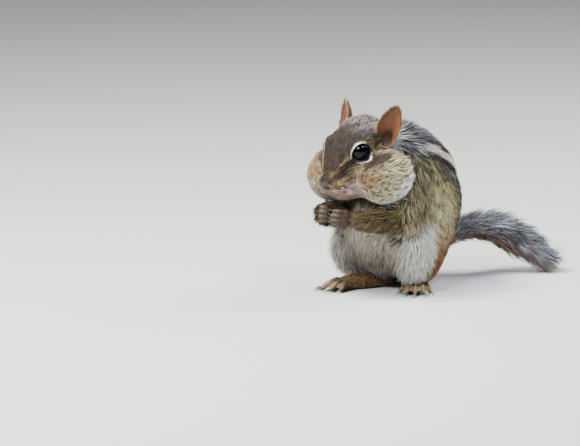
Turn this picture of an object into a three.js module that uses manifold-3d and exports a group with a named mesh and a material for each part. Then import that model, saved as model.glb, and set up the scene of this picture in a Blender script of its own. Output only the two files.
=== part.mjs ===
// A chipmunk sitting up on its haunches with both cheek pouches full and its forepaws held together under its
// chin, at life size in millimetres. It faces -Y with its left side at +X. Soles, rump and tail rest on z = 0.
import * as THREE from "three";
import { mergeVertices } from "three/addons/utils/BufferGeometryUtils.js";
import Module from "manifold-3d";

const wasm = await Module();
wasm.setup();

// Driving sizes. The head's own frame has its origin midway between the eyes, x to its left, y back and z up.
const gap = 0.3;
const head = {
  place: [-5.5, -32.5, 65.3],
  bowDegrees: 30,
  turnDegrees: -6,
};
const eye = { radius: 4.5, apart: 9.3, back: 1, up: 1.1, lidThickness: 0.8, openWide: 4.45, openHigh: 4.05 };
const ear = { halfHeight: 10.4, halfWidth: 6.7, halfThickness: 0.62, cup: 3.1 };
const arm = { wristRadius: 2.8, middleRadius: 5.2, elbowRadius: 6.2 };
const paw = { fingers: 4, fingerRadius: 0.95, fingerSpacing: 2.1 };
const foot = { toes: 5, toeRadius: 1.45, toeSpacing: 1.8, toeLength: 10.4, fanDegrees: 14, soleLength: 20 };
const claw = { fore: 1.9, hind: 2.6, radius: 0.46 };
const tail = {
  path: [
    [0, 22, 15],
    [2, 35, 20.5],
    [7, 50, 21.5],
    [17, 62, 15.5],
    [26, 68.5, 8.2],
    [34.5, 72.5, 4.3],
  ],
  width: [4.6, 6.6, 7.6, 7.8, 7, 5.4],
  height: [4.4, 5.8, 6.4, 6.6, 6, 4.4],
  lengths: 3,
  coreShare: 0.44,
  coreEnd: 0.84,
  rings: 7,
  firstRing: 0.075,
  lastRing: 0.81,
  locks: 6,
  leastReach: 0.204,
  mostReach: 0.276,
  lockWidth: 3.3,
  lockThickness: 0.6,
};
const color = {
  head: 0x8a6b48,
  ear: 0xa8714c,
  eye: 0x0c0a0a,
  back: 0x8a7657,
  flank: 0xb39a6e,
  paw: 0x8d6f55,
  foot: 0xb98a54,
  foreClaw: 0x3a322c,
  hindClaw: 0x4a4038,
  tail: 0x5d5750,
};
const roughness = { fur: 0.85, claw: 0.4, eye: 0.1 };

const point = (x, y, z) => new THREE.Vector3(x, y, z);
const radians = THREE.MathUtils.degToRad;

// Fields. Each gives about the distance in mm from a point to a surface, and is negative inside it.
function egg(centre, radii, turnDegrees = [0, 0, 0]) {
  const turn = new THREE.Euler(...turnDegrees.map(radians));
  const toLocal = new THREE.Matrix4()
    .makeRotationFromEuler(turn)
    .setPosition(...centre)
    .invert();
  const local = new THREE.Vector3();
  return (place) => {
    local.copy(place).applyMatrix4(toLocal);
    const near = Math.hypot(local.x / radii[0], local.y / radii[1], local.z / radii[2]);
    const slope = Math.hypot(local.x / radii[0] ** 2, local.y / radii[1] ** 2, local.z / radii[2] ** 2);
    return slope < 1e-9 ? -Math.min(...radii) : (near * (near - 1)) / slope;
  };
}

function rod(start, end, startRadius, endRadius) {
  const from = point(...start);
  const along = point(...end).sub(from);
  const local = new THREE.Vector3();
  return (place) => {
    local.copy(place).sub(from);
    const share = THREE.MathUtils.clamp(local.dot(along) / along.lengthSq(), 0, 1);
    return local.addScaledVector(along, -share).length() - THREE.MathUtils.lerp(startRadius, endRadius, share);
  };
}

function blend(softness, fields) {
  return (place) =>
    fields.reduce((sum, field) => {
      const next = field(place);
      const share = Math.max(softness - Math.abs(sum - next), 0) / softness;
      return Math.min(sum, next) - (share * share * softness) / 4;
    }, 1e3);
}

const bothSides = (make) => [make(1), make(-1)];

// Solids
function solidOf(geometry) {
  geometry.deleteAttribute("normal");
  geometry.deleteAttribute("uv");
  const merged = mergeVertices(geometry, 1e-4);
  return new wasm.Manifold(
    new wasm.Mesh({
      numProp: 3,
      vertProperties: merged.attributes.position.array,
      triVerts: new Uint32Array(merged.index.array),
    }),
  );
}

// How far from a start, along a way, the field's surface lies when it is grown by so much.
function reachTo(field, start, way, grow = 0) {
  const place = new THREE.Vector3();
  const outside = (reach) => field(place.copy(start).addScaledVector(way, reach)) > grow;
  let inner = 0;
  let outer = 1;
  while (!outside(outer)) {
    inner = outer;
    outer += 1;
  }
  for (let halving = 0; halving < 16; halving++) {
    const middle = (inner + outer) / 2;
    if (outside(middle)) outer = middle;
    else inner = middle;
  }
  return inner;
}

// A ball whose every corner is moved out from the centre until it meets the field, so the field must be seen
// whole from there. The lean crowds the corners towards one side, where the form is finer.
function wrapped(field, { centre, detail, lean = [0, 0, 0] }, grow = 0) {
  const geometry = new THREE.IcosahedronGeometry(1, detail);
  const corners = geometry.getAttribute("position");
  const start = point(...centre);
  const way = new THREE.Vector3();
  for (let i = 0; i < corners.count; i++) {
    way.fromBufferAttribute(corners, i).add(point(...lean)).normalize();
    const place = start.clone().addScaledVector(way, reachTo(field, start, way, grow));
    corners.setXYZ(i, place.x, place.y, place.z);
  }
  return solidOf(geometry);
}

function ellipsoid(centre, radii, detail, turnDegrees = [0, 0, 0]) {
  const geometry = new THREE.IcosahedronGeometry(1, detail)
    .scale(...radii)
    .applyMatrix4(new THREE.Matrix4().makeRotationFromEuler(new THREE.Euler(...turnDegrees.map(radians))))
    .translate(...centre);
  return solidOf(geometry);
}

// The value at a share from 0 to 1 along evenly spaced values, joined smoothly.
function along(values, share) {
  const curve = new THREE.CatmullRomCurve3(values.map((value) => point(value, 0, 0)));
  return curve.getPoint(THREE.MathUtils.clamp(share, 0, 1)).x;
}

// A round-ended body along a path, with half its width and half its height given at even steps. Its height is
// measured towards "up".
function bent({ path, width, height = width, sides = 8, steps = 6, up = [0, 0, 1], cap = 2 }, grow = 0) {
  const curve = new THREE.CatmullRomCurve3(path.map((place) => point(...place)));
  const geometry = new THREE.CapsuleGeometry(1, 1, cap, sides, steps);
  const corners = geometry.getAttribute("position");
  for (let i = 0; i < corners.count; i++) {
    const level = corners.getY(i);
    const share = THREE.MathUtils.clamp(level + 0.5, 0, 1);
    const past = level + 0.5 - share;
    const ahead = curve.getTangentAt(share);
    const sideways = ahead.clone().cross(point(...up)).normalize();
    const upward = sideways.clone().cross(ahead);
    const halfWidth = along(width, share) + grow;
    const halfHeight = along(height, share) + grow;
    const place = curve
      .getPointAt(share)
      .addScaledVector(ahead, past * Math.min(halfWidth, halfHeight))
      .addScaledVector(sideways, corners.getX(i) * halfWidth)
      .addScaledVector(upward, corners.getZ(i) * halfHeight);
    corners.setXYZ(i, place.x, place.y, place.z);
  }
  return solidOf(geometry);
}

const fuse = (solids) => solids.reduce((sum, solid) => sum.add(solid));
const cut = (solid, cutters) => cutters.reduce((rest, cutter) => rest.subtract(cutter), solid);
const moved = (solid, matrix) => solid.transform(matrix.elements);

function largest(solid) {
  const pieces = solid.decompose();
  return pieces.reduce((best, piece) => (piece.volume() > best.volume() ? piece : best));
}

// Everything on the side of a plane that its normal points to.
function halfSpace(place, normal) {
  const size = 300;
  const turn = new THREE.Quaternion().setFromUnitVectors(point(0, 0, 1), point(...normal).normalize());
  const geometry = new THREE.BoxGeometry(size, size, size)
    .translate(0, 0, size / 2)
    .applyQuaternion(turn)
    .translate(...place);
  return solidOf(geometry);
}

const aboveFloor = halfSpace([0, 0, 0], [0, 0, 1]);

function geometryOf(solid) {
  const mesh = solid.getMesh();
  return new THREE.BufferGeometry()
    .setAttribute("position", new THREE.BufferAttribute(new Float32Array(mesh.vertProperties), 3))
    .setIndex(new THREE.BufferAttribute(new Uint32Array(mesh.triVerts), 1));
}

function node(group, name, solid, shade, rough = roughness.fur) {
  const material = new THREE.MeshStandardMaterial({ color: shade, roughness: rough, metalness: 0 });
  const mesh = new THREE.Mesh(geometryOf(largest(solid)), material);
  mesh.name = name;
  group.add(mesh);
}

const sideName = (side) => (side > 0 ? "left" : "right");

const animal = new THREE.Group();
const headGroup = new THREE.Group();
headGroup.position.set(...head.place);
headGroup.rotation.set(radians(head.bowDegrees), 0, radians(head.turnDegrees), "ZXY");
headGroup.updateMatrix();
animal.add(headGroup);

// Head, in its own frame
const eyeCentre = (side) => [side * eye.apart, eye.back, eye.up];
const eyeGaze = (side) => point(side * 0.86, -0.48, 0.16).normalize();

// Each cheek pouch as its centre and radii. The right one is fuller and hangs lower.
const cheek = (side) =>
  side > 0
    ? { centre: [16.4, 2.6, -13.6], radii: [12.2, 13.2, 12.4] }
    : { centre: [-17.2, 1.6, -15.8], radii: [12.8, 13.4, 12.8] };

const skullField = blend(5, [
  egg([0, 9, 0.2], [11.6, 14.3, 10.6]),
  egg([0, -2, -0.6], [9, 9.8, 7.8], [14, 0, 0]),
  egg([0, 1, -14.5], [13, 11, 9.5]),
  egg([0, -8.2, -13.6], [9.4, 7.8, 5.2]),
  ...bothSides((side) => egg(cheek(side).centre, cheek(side).radii, [0, side * 8, 0])),
]);
const headField = blend(3, [
  skullField,
  rod([0, -4, -3], [0, -14.6, -5.8], 8, 4.3),
  egg([0, -17.4, -5.4], [2.7, 2.4, 2.3]),
  ...bothSides((side) => egg([side * 3.7, -12.6, -8.2], [4, 4.9, 3.2], [20, 0, 0])),
  ...bothSides((side) => egg(eyeCentre(side), Array(3).fill(eye.radius + gap + eye.lidThickness))),
]);
const headShape = { centre: [0, 1, -7], detail: 9, lean: [0, -0.42, 0] };

// The opening between the lids, an oval bite along the gaze.
function eyeOpening(side) {
  const gaze = eyeGaze(side);
  const centre = point(...eyeCentre(side)).addScaledVector(gaze, eye.radius + gap + 1.2);
  const turn = new THREE.Quaternion().setFromUnitVectors(point(0, -1, 0), gaze);
  const geometry = new THREE.IcosahedronGeometry(1, 3)
    .scale(eye.openWide, 3.6, eye.openHigh)
    .applyQuaternion(turn)
    .translate(...centre.toArray());
  return solidOf(geometry);
}

// Where the head's surface lies straight out from its middle towards a point.
function onHead(x, y, z) {
  const start = point(...headShape.centre);
  const way = point(x, y, z).sub(start).normalize();
  return start.addScaledVector(way, reachTo(headField, start, way)).toArray();
}

function headSolid() {
  const nostril = (side) => ellipsoid(onHead(side * 1.9, -19, -5.9), [0.75, 1.2, 0.6], 2, [0, 0, side * 35]);
  const mouth = bent({
    path: [
      onHead(8, -11.2, -12),
      onHead(4.6, -14.8, -11.3),
      onHead(0, -18, -10.6),
      onHead(-4.6, -14.8, -11.3),
      onHead(-8, -11.2, -12),
    ],
    width: [0.5, 0.9, 0.8, 0.9, 0.5],
    height: [0.3, 0.42, 0.36, 0.42, 0.3],
    steps: 14,
    sides: 6,
  });
  const lipCleft = bent({
    path: [onHead(0, -19.4, -7.4), onHead(0, -18.6, -9), onHead(0, -18, -10.6)],
    width: [0.35, 0.35, 0.4],
    height: [0.6, 0.6, 0.6],
    steps: 3,
    sides: 6,
    up: [0, -1, 0],
  });
  return cut(wrapped(headField, headShape), [
    ...bothSides((side) => ellipsoid(eyeCentre(side), Array(3).fill(eye.radius + gap), 2)),
    ...bothSides(eyeOpening),
    ...bothSides(nostril),
    mouth,
    lipCleft,
  ]);
}

// An ear is a thin oval, narrower towards its tip, whose middle is pushed back into a cup.
function earSolid(side, grow = 0) {
  const tall = point(side * 0.24, 0.44, 0.87).normalize();
  const open = point(side * 0.8, -0.5, 0.34);
  open.addScaledVector(tall, -open.dot(tall)).normalize();
  const wide = tall.clone().cross(open);
  const middle = point(side * 13.8, 17.4, 4.2);
  const geometry = new THREE.SphereGeometry(1, 16, 8).rotateX(Math.PI / 2);
  const corners = geometry.getAttribute("position");
  for (let i = 0; i < corners.count; i++) {
    const across = corners.getX(i);
    const height = corners.getY(i);
    const cup = ear.cup * (1 - across ** 2 - 0.6 * height ** 2);
    const place = middle
      .clone()
      .addScaledVector(wide, across * (ear.halfWidth + grow) * (1 - 0.3 * height - 0.1 * height ** 2))
      .addScaledVector(tall, height * (ear.halfHeight + grow))
      .addScaledVector(open, corners.getZ(i) * (ear.halfThickness + grow) - cup);
    corners.setXYZ(i, place.x, place.y, place.z);
  }
  return solidOf(geometry);
}

const headGrown = wrapped(headField, headShape, gap);
node(headGroup, "head", headSolid(), color.head);
for (const side of [1, -1]) {
  node(headGroup, `ear_${sideName(side)}`, cut(earSolid(side), [headGrown]), color.ear);
  const ball = ellipsoid(eyeCentre(side), Array(3).fill(eye.radius), 2);
  node(headGroup, `eye_${sideName(side)}`, ball, color.eye, roughness.eye);
}
const headInBody = moved(headGrown, headGroup.matrix);

// Body: trunk, rump, neck, thighs and upper arms are one smooth form, parted with thin cuts.
const shoulder = (side) => [side * 15 - 2, -10, 49];
const elbow = (side) => [side * 20.5 - 2, -19, 36.5];
const thigh = (side) => ({ centre: [side * 17.5 - 1.5, -6, 17.5], radii: [9.6, 15.6, 14.8], turn: [-12, 0, side * 14] });

const bodyField = blend(7, [
  egg([0, 8, 39.5], [23.6, 22.6, 26.6]),
  egg([-1, 1, 51], [20, 20.5, 22.5]),
  egg([-1, 6, 25], [21, 19, 26.2]),
  egg([-1, -9, 26], [19.5, 15.5, 20]),
  egg([-2, -9, 43], [16, 14.5, 14]),
  rod([-1, -2, 56], [-4, -15, 62], 16, 12),
  ...bothSides((side) => egg(thigh(side).centre, thigh(side).radii, thigh(side).turn)),
  ...bothSides((side) => rod(shoulder(side), elbow(side), 7, 5.6)),
]);
const bodyShape = { centre: [-1, 2, 38], detail: 7 };
const body = wrapped(bodyField, bodyShape).intersect(aboveFloor);

function thighCutter(side, grow) {
  const { centre, radii, turn } = thigh(side);
  const reach = 2.2 + grow;
  return ellipsoid([centre[0] + side * 2, centre[1], centre[2] - 0.5], radii.map((r) => r + reach), 3, turn);
}

function armCutter(side, grow) {
  return bent({
    path: [shoulder(side), elbow(side)].map(([x, y, z]) => [x + side * 2.4, y - 0.6, z]),
    width: [7.4 + grow, 6.6 + grow],
    sides: 12,
    steps: 2,
    cap: 3,
    up: [0, 1, 0],
  });
}

const neckCut = (grow) => halfSpace([-3, -6 - grow, 62 + grow], [-0.15, -0.75, 0.62]);
const earsInBody = bothSides((side) => moved(earSolid(side, gap), headGroup.matrix));
const neck = cut(body.intersect(neckCut(gap / 2)), [
  headInBody,
  ...earsInBody,
  ...bothSides((side) => armCutter(side, gap / 2)),
]);
const torso = cut(body, [
  neckCut(-gap / 2),
  headInBody,
  ...earsInBody,
  ...bothSides((side) => thighCutter(side, gap / 2)),
  ...bothSides((side) => armCutter(side, gap / 2)),
]);
node(animal, "neck", neck, color.back);
node(animal, "torso", torso, color.flank);

const bodyGrown = wrapped(bodyField, bodyShape, gap);
for (const side of [1, -1]) {
  const haunch = body.intersect(thighCutter(side, -gap / 2));
  node(animal, `thigh_${sideName(side)}`, haunch, color.flank);
  const upper = cut(body.intersect(armCutter(side, -gap / 2)), [headInBody, thighCutter(side, gap / 2)]);
  node(animal, `upper_arm_${sideName(side)}`, upper, color.flank);
}

// Forearms reach forward from the elbows to the paws, which meet under the chin.
const pawPlace = (side) => (side > 0 ? [1.6, -40, 36.4] : [-10, -40.5, 37.6]);
const wrist = (side) => {
  const [x, y, z] = pawPlace(side);
  return [x + side * 1.2, y + 2.2, z - 0.4];
};
const forearm = (side, grow) =>
  bent(
    {
      path: [
        [elbow(side)[0] - side * 2, elbow(side)[1] + 3, elbow(side)[2]],
        [(elbow(side)[0] + wrist(side)[0]) / 2 + side * 1.5, -30.5, 35.5],
        wrist(side),
      ],
      width: [arm.elbowRadius, arm.middleRadius, arm.wristRadius],
      height: [arm.elbowRadius, arm.middleRadius + 0.3, arm.wristRadius + 0.4],
      sides: 10,
      steps: 6,
    },
    grow,
  );

// A paw in its own frame: the fingers leave forward along -Y, one above another, and curl to the inner side.
function pawSolids(side) {
  const palm = ellipsoid([0, -1.4, 0], [2.1, 3.2, 4.3], 2);
  const fingers = [];
  const claws = [];
  for (let i = 0; i < paw.fingers; i++) {
    const level = (i - (paw.fingers - 1) / 2) * paw.fingerSpacing;
    const reach = 1 - 0.05 * Math.abs(level);
    const tip = [-side * 3, -6.4 * reach, level * 0.82 - 0.3];
    fingers.push(
      bent({
        path: [
          [side * 0.4, -2.6, level * 0.9],
          [side * 0.8, -5.3 * reach, level * 1.04],
          [-side * 1.0, -7.5 * reach, level],
          tip,
        ],
        width: [1.05, paw.fingerRadius, paw.fingerRadius, 0.72],
        sides: 6,
        steps: 4,
        cap: 1,
      }),
    );
    const root = [tip[0] - side * 0.9, tip[1] + 0.95, tip[2] - 0.3];
    claws.push(
      bent({
        path: [
          root,
          [root[0] - side * 0.25, root[1] + claw.fore / 2, root[2] - 0.25],
          [root[0] - side * 0.1, root[1] + claw.fore, root[2] - 0.7],
        ],
        width: [claw.radius * 0.8, claw.radius * 0.7, 0.14],
        sides: 5,
        steps: 2,
        cap: 1,
      }),
    );
  }
  return { flesh: fuse([palm, ...fingers]), claws };
}

for (const side of [1, -1]) {
  const group = new THREE.Group();
  group.position.set(...pawPlace(side));
  group.rotation.set(radians(-6), 0, radians(side * -16));
  group.updateMatrix();
  animal.add(group);
  const { flesh, claws } = pawSolids(side);
  const toLocal = group.matrix.clone().invert();
  const headHere = moved(headInBody, toLocal);
  const hand = cut(flesh, [headHere]);
  node(group, `paw_${sideName(side)}`, hand, color.paw);
  claws.forEach((solid, i) => {
    node(group, `claw_fore_${sideName(side)}_${i + 1}`, solid, color.foreClaw, roughness.claw);
  });
  const handInBody = moved(flesh, group.matrix);
  node(animal, `forearm_${sideName(side)}`, cut(forearm(side, 0), [bodyGrown, handInBody, headInBody]), color.flank);
}

// Hind feet lie flat, turned outwards, each with five arched toes.
const footPlace = (side) => (side > 0 ? [6, 4.6, 0] : [-4.4, -10.3, 0]);
const footTurn = (side) => (side > 0 ? 38 : -24);

function footSolids() {
  const sole = bent({
    path: [
      [0, 3, 2.8],
      [0, -foot.soleLength * 0.35, 3.4],
      [0, -foot.soleLength * 0.7, 3.7],
      [0, -foot.soleLength, 2.8],
    ],
    width: [2.8, 3.4, 4.1, 4.6],
    height: [3, 3.7, 4, 3],
    sides: 10,
    steps: 5,
  });
  const toes = [];
  const claws = [];
  for (let i = 0; i < foot.toes; i++) {
    const place = i - (foot.toes - 1) / 2;
    const way = radians(place * foot.fanDegrees);
    const length = foot.toeLength - place ** 2;
    const at = (reach, z) => [
      place * foot.toeSpacing + Math.sin(way) * reach,
      Math.abs(place) * 0.9 + 1.5 - foot.soleLength - Math.cos(way) * reach,
      z,
    ];
    toes.push(
      bent({
        path: [at(0, 2.6), at(length * 0.4, 3.6), at(length * 0.75, 2.3), at(length, 1)],
        width: [1.7, foot.toeRadius, 1.35, 1],
        sides: 6,
        steps: 4,
        cap: 1,
      }),
    );
    const root = length + 1 + gap + claw.radius;
    claws.push(
      bent({
        path: [at(root, 1.4), at(root + claw.hind / 2, 1.5), at(root + claw.hind, 0.4)],
        width: [claw.radius, claw.radius * 0.8, 0.16],
        sides: 5,
        steps: 2,
        cap: 1,
      }),
    );
  }
  return { flesh: fuse([sole, ...toes]).intersect(aboveFloor), claws };
}

for (const side of [1, -1]) {
  const group = new THREE.Group();
  group.position.set(...footPlace(side));
  group.rotation.z = radians(footTurn(side));
  group.updateMatrix();
  animal.add(group);
  const { flesh, claws } = footSolids();
  const bodyHere = moved(bodyGrown, group.matrix.clone().invert());
  node(group, `foot_${sideName(side)}`, cut(flesh, [bodyHere]), color.foot);
  claws.forEach((solid, i) => {
    node(group, `claw_hind_${sideName(side)}_${i + 1}`, solid, color.hindClaw, roughness.claw);
  });
}

// Tail: a slim core with rings of flat, tapered locks that lie back over one another, in a few lengths.
const tailCurve = new THREE.CatmullRomCurve3(tail.path.map((place) => point(...place)));
const tailLength = tailCurve.getLength();

function seededRandom(seed) {
  let state = seed;
  return () => {
    state = (state + 0x6d2b79f5) | 0;
    let mixed = Math.imul(state ^ (state >>> 15), 1 | state);
    mixed = (mixed + Math.imul(mixed ^ (mixed >>> 7), 61 | mixed)) ^ mixed;
    return ((mixed ^ (mixed >>> 14)) >>> 0) / 4294967296;
  };
}

// The place in the brush at a share of the tail's length, an angle round it and a share of its radius. Past
// the path's end the tail runs straight on.
function inBrush(share, angle, depth) {
  const on = Math.min(share, 1);
  const ahead = tailCurve.getTangentAt(on);
  const sideways = ahead.clone().cross(point(0, 0, 1)).normalize();
  const upward = sideways.clone().cross(ahead);
  const outward = sideways
    .multiplyScalar(Math.cos(angle) * along(tail.width, on))
    .addScaledVector(upward, Math.sin(angle) * along(tail.height, on));
  const place = tailCurve
    .getPointAt(on)
    .addScaledVector(ahead, (share - on) * tailLength)
    .addScaledVector(outward, depth);
  return { place, outward: outward.normalize() };
}

// One lock as the numbers that "bent" takes. It leaves the core steeply and soon lies along the tail.
function tailLock(share, angle, reach, swing) {
  const steps = [
    [0, 0.22],
    [0.3, 0.72],
    [0.65, 0.95],
    [1, 0.98],
  ];
  return {
    path: steps.map(([s, depth]) => inBrush(share + s * reach, angle + s * swing, depth).place.toArray()),
    width: [0.6, 1, 0.85, 0.14].map((part) => part * tail.lockWidth),
    height: [1, 1, 0.85, 0.35].map((part) => part * tail.lockThickness),
    up: inBrush(share, angle, 1).outward.toArray(),
    sides: 4,
    steps: 3,
    cap: 1,
  };
}

const random = seededRandom(11);
const tailLocks = [];
for (let ring = 0; ring < tail.rings; ring++) {
  const share = THREE.MathUtils.lerp(tail.firstRing, tail.lastRing, ring / (tail.rings - 1));
  for (let i = 0; i < tail.locks; i++) {
    const angle = ((i + (ring % 2) / 2 + 0.3 * random()) / tail.locks) * 2 * Math.PI;
    const reach = THREE.MathUtils.lerp(tail.leastReach, tail.mostReach, random());
    const nearFloor = inBrush(share + reach, angle, 1).place.z < 1;
    const swing = nearFloor ? 0 : 0.3 * (random() - 0.5);
    tailLocks.push({ share, lock: tailLock(share, angle, reach, swing) });
  }
}

const slab = (share, side) => {
  const ahead = tailCurve.getTangentAt(share);
  const place = tailCurve.getPointAt(share).addScaledVector(ahead, (side * gap) / 2);
  return halfSpace(place.toArray(), ahead.multiplyScalar(side).toArray());
};
const coreAt = Array.from({ length: tail.path.length }, (_, i) => (tail.coreEnd * i) / (tail.path.length - 1));
const tailCore = bent({
  path: coreAt.map((share) => tailCurve.getPointAt(share).toArray()),
  width: coreAt.map((share) => along(tail.width, share) * tail.coreShare),
  height: coreAt.map((share) => along(tail.height, share) * tail.coreShare),
  steps: 12,
});

for (let i = 0; i < tail.lengths; i++) {
  const from = i / tail.lengths;
  const to = (i + 1) / tail.lengths;
  let core = tailCore;
  if (i > 0) core = core.intersect(slab(from, 1));
  if (i < tail.lengths - 1) core = core.intersect(slab(to, -1));
  const own = tailLocks.filter(({ share }) => share >= from && share < to);
  const overhanging = tailLocks.filter(({ share }) => share < from && share + tail.mostReach > from);
  const brush = cut(fuse([core, ...own.map(({ lock }) => bent(lock))]), [
    bodyGrown,
    ...overhanging.map(({ lock }) => bent(lock, gap)),
  ]);
  node(animal, `tail_${i + 1}`, brush.intersect(aboveFloor), color.tail);
}

// The part's origin is at the middle of its box, on the floor.
const box = new THREE.Box3().setFromObject(animal, true);
const middle = box.getCenter(new THREE.Vector3());
animal.position.set(-middle.x, -middle.y, -box.min.z);
const part = new THREE.Group();
part.add(animal);

export default part;
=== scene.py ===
# A striped chipmunk that sits up with both cheeks full: skin, coat, eyes, ears, claws and whiskers over the CAD frame.
import math

import bmesh
import bpy
import numpy as np
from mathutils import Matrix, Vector


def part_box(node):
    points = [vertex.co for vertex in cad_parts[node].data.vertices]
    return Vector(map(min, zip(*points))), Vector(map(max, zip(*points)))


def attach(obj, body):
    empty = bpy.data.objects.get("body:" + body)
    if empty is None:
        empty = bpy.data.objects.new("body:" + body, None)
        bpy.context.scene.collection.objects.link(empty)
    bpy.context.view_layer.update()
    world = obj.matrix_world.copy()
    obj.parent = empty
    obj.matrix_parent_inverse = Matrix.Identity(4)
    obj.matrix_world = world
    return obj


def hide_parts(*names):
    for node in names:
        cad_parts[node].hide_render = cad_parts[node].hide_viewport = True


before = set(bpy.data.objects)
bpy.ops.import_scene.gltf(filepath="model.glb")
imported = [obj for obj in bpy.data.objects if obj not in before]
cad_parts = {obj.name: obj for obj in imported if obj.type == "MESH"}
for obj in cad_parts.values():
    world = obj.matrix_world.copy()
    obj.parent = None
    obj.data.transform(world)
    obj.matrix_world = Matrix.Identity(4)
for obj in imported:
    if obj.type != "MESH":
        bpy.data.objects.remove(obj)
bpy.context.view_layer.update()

mm = 0.001


# Plain numbers, in mm in the animal's own frame: turns, shares, fields of distance and paths
def turnAbout(axis, degrees):
    c, s = math.cos(math.radians(degrees)), math.sin(math.radians(degrees))
    a, b = (axis + 1) % 3, (axis + 2) % 3
    made = np.eye(3)
    made[a, a] = made[b, b] = c
    made[a, b], made[b, a] = -s, s
    return made


# Two functions for a frame placed and turned on each side: into it and back to the animal's own.
def frameOf(places, turns):
    def inward(p, side=1):
        return (p - np.array(places[side], float)) @ turns[side]

    def outward(q, side=1):
        return np.asarray(q, float) @ turns[side].T + np.array(places[side], float)

    return inward, outward


def unit(v):
    v = np.asarray(v, float)
    return v / np.maximum(np.linalg.norm(v, axis=-1, keepdims=True), 1e-9)


def smooth(low, high, value):
    t = np.clip((value - low) / (high - low), 0, 1)
    return t * t * (3 - 2 * t)


def fade(low, high, value):
    return 1 - smooth(low, high, value)


# Rows of colours or places are mixed by one share a row.
def mix(a, b, share):
    share = np.asarray(share, float)
    if share.ndim == 1 and max(np.ndim(a), np.ndim(b)) == 2:
        share = share[:, None]
    return a * (1 - share) + b * share


def egg(centre, radii, turn=(0, 0, 0)):
    back = turnAbout(0, turn[0]) @ turnAbout(1, turn[1]) @ turnAbout(2, turn[2])
    centre, radii = np.array(centre, float), np.array(radii, float)

    def field(p):
        local = (p - centre) @ back
        near = np.linalg.norm(local / radii, axis=1)
        slope = np.linalg.norm(local / radii**2, axis=1)
        return near * (near - 1) / np.maximum(slope, 1e-9)

    return field


def rod(start, end, startRadius, endRadius):
    start = np.array(start, float)
    along = np.array(end, float) - start

    def field(p):
        local = p - start
        share = np.clip(local @ along / (along @ along), 0, 1)
        radius = startRadius + (endRadius - startRadius) * share
        return np.linalg.norm(local - share[:, None] * along, axis=1) - radius

    return field


def blend(softness, fields):
    def field(p):
        total = fields[0](p)
        for other in fields[1:]:
            d = other(p)
            share = np.maximum(softness - np.abs(total - d), 0) / softness
            total = np.minimum(total, d) - share * share * softness / 4
        return total

    return field


# A field that is only worked out near its form. Further off it is the distance to a ball round it.
def within(centre, radius, field, margin=6.0):
    centre = np.array(centre, float)

    def near(p):
        far = np.linalg.norm(p - centre, axis=1) - radius
        out = far + margin
        inside = far < 0
        if inside.any():
            out[inside] = field(p[inside])
        return out

    return near


def carved(value, cutter, softness):
    share = np.maximum(softness - np.abs(value + cutter), 0) / softness
    return np.maximum(value, -cutter) + share * share * softness / 4


def slopeOf(field, p, value, step=0.03):
    return np.column_stack([(field(p + step * way) - value) / step for way in np.eye(3)])


# Places are moved down a field's slope until they lie on its form, by at most "stride" a step.
def settle(p, field, steps, stride=1.2):
    for _ in range(steps):
        value = field(p)
        slope = slopeOf(field, p, value)
        move = -(value / np.maximum((slope**2).sum(1), 0.15))[:, None] * slope
        length = np.linalg.norm(move, axis=1, keepdims=True)
        p = p + move * np.minimum(1, stride / np.maximum(length, 1e-9))
    return p


def smoothPath(points, count):
    points = np.array(points, float)
    padded = np.vstack([2 * points[0] - points[1], points, 2 * points[-1] - points[-2]])
    out = []
    for share in np.linspace(0, len(points) - 1, count):
        i = min(int(share), len(points) - 2)
        t = share - i
        a, b, c, d = padded[i : i + 4]
        out.append(0.5 * (2 * b + (c - a) * t + (2 * a - 5 * b + 4 * c - d) * t * t + (3 * b - a - 3 * c + d) * t**3))
    return np.array(out)


def spread(radii, count):
    return np.interp(np.linspace(0, 1, count), np.linspace(0, 1, len(radii)), radii)


def rods(path, thick):
    return [rod(path[i], path[i + 1], thick[i], thick[i + 1]) for i in range(len(path) - 1)]


def chain(points, radii, count, softness=0.6):
    return blend(softness, rods(smoothPath(points, count), spread(radii, count)))


def distanceToPath(p, points):
    return np.min([rod(a, b, 0, 0)(p) for a, b in zip(points[:-1], points[1:])], axis=0)


# Head
head = {"place": (-5.5, -32.5, 65.3), "bow": 30, "turn": -6, "middle": (-5.5, -30, 60), "reach": 48}
eye = {"radius": 4.5, "apart": 9.3, "back": 1.0, "up": 1.1, "lid": 5.6, "gaze": (0.86, -0.48, 0.16)}
opening = {"corner": (-0.43, -0.86, -0.27), "front": 5.1, "rear": 4.25, "high": 3.85, "point": 1.55, "depth": 1.6,
           "steep": 7.6, "softness": 0.5}
headTurn = turnAbout(2, head["turn"]) @ turnAbout(0, head["bow"])
toHead, fromHead = frameOf({1: head["place"]}, {1: headTurn})


def mirrored(v, side):
    return np.array([v[0] * side, v[1], v[2]], float)


def bothSides(make):
    return [make(1), make(-1)]


def eyeCentre(side):
    return np.array([side * eye["apart"], eye["back"], eye["up"]])


def fromEyes(q):
    return np.min(bothSides(lambda side: np.linalg.norm(q - eyeCentre(side), axis=1)), axis=0)


skullField = blend(5, [
    egg([0, 9, 0.2], [11.6, 14.3, 10.6]),
    egg([0, -2, -0.6], [9, 9.8, 7.8], [14, 0, 0]),
    egg([0, 1, -14.5], [13, 11, 9.5]),
    egg([0, -8.2, -13.6], [9.4, 7.8, 5.2]),
    egg([16.4, 2.6, -13.6], [12.2, 13.2, 12.4], [0, 8, 0]),
    egg([-17.2, 1.6, -15.8], [12.8, 13.4, 12.8], [0, -8, 0]),
])
headForm = blend(3, [
    skullField,
    rod([0, -4, -3], [0, -14.6, -5.8], 8, 4.3),
    egg([0, -17.4, -5.4], [2.7, 2.4, 2.3]),
    *bothSides(lambda side: egg([side * 3.7, -12.6, -8.2], [4, 4.9, 3.2], [20, 0, 0])),
    *bothSides(lambda side: egg(eyeCentre(side), [eye["lid"]] * 3)),
])


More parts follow.
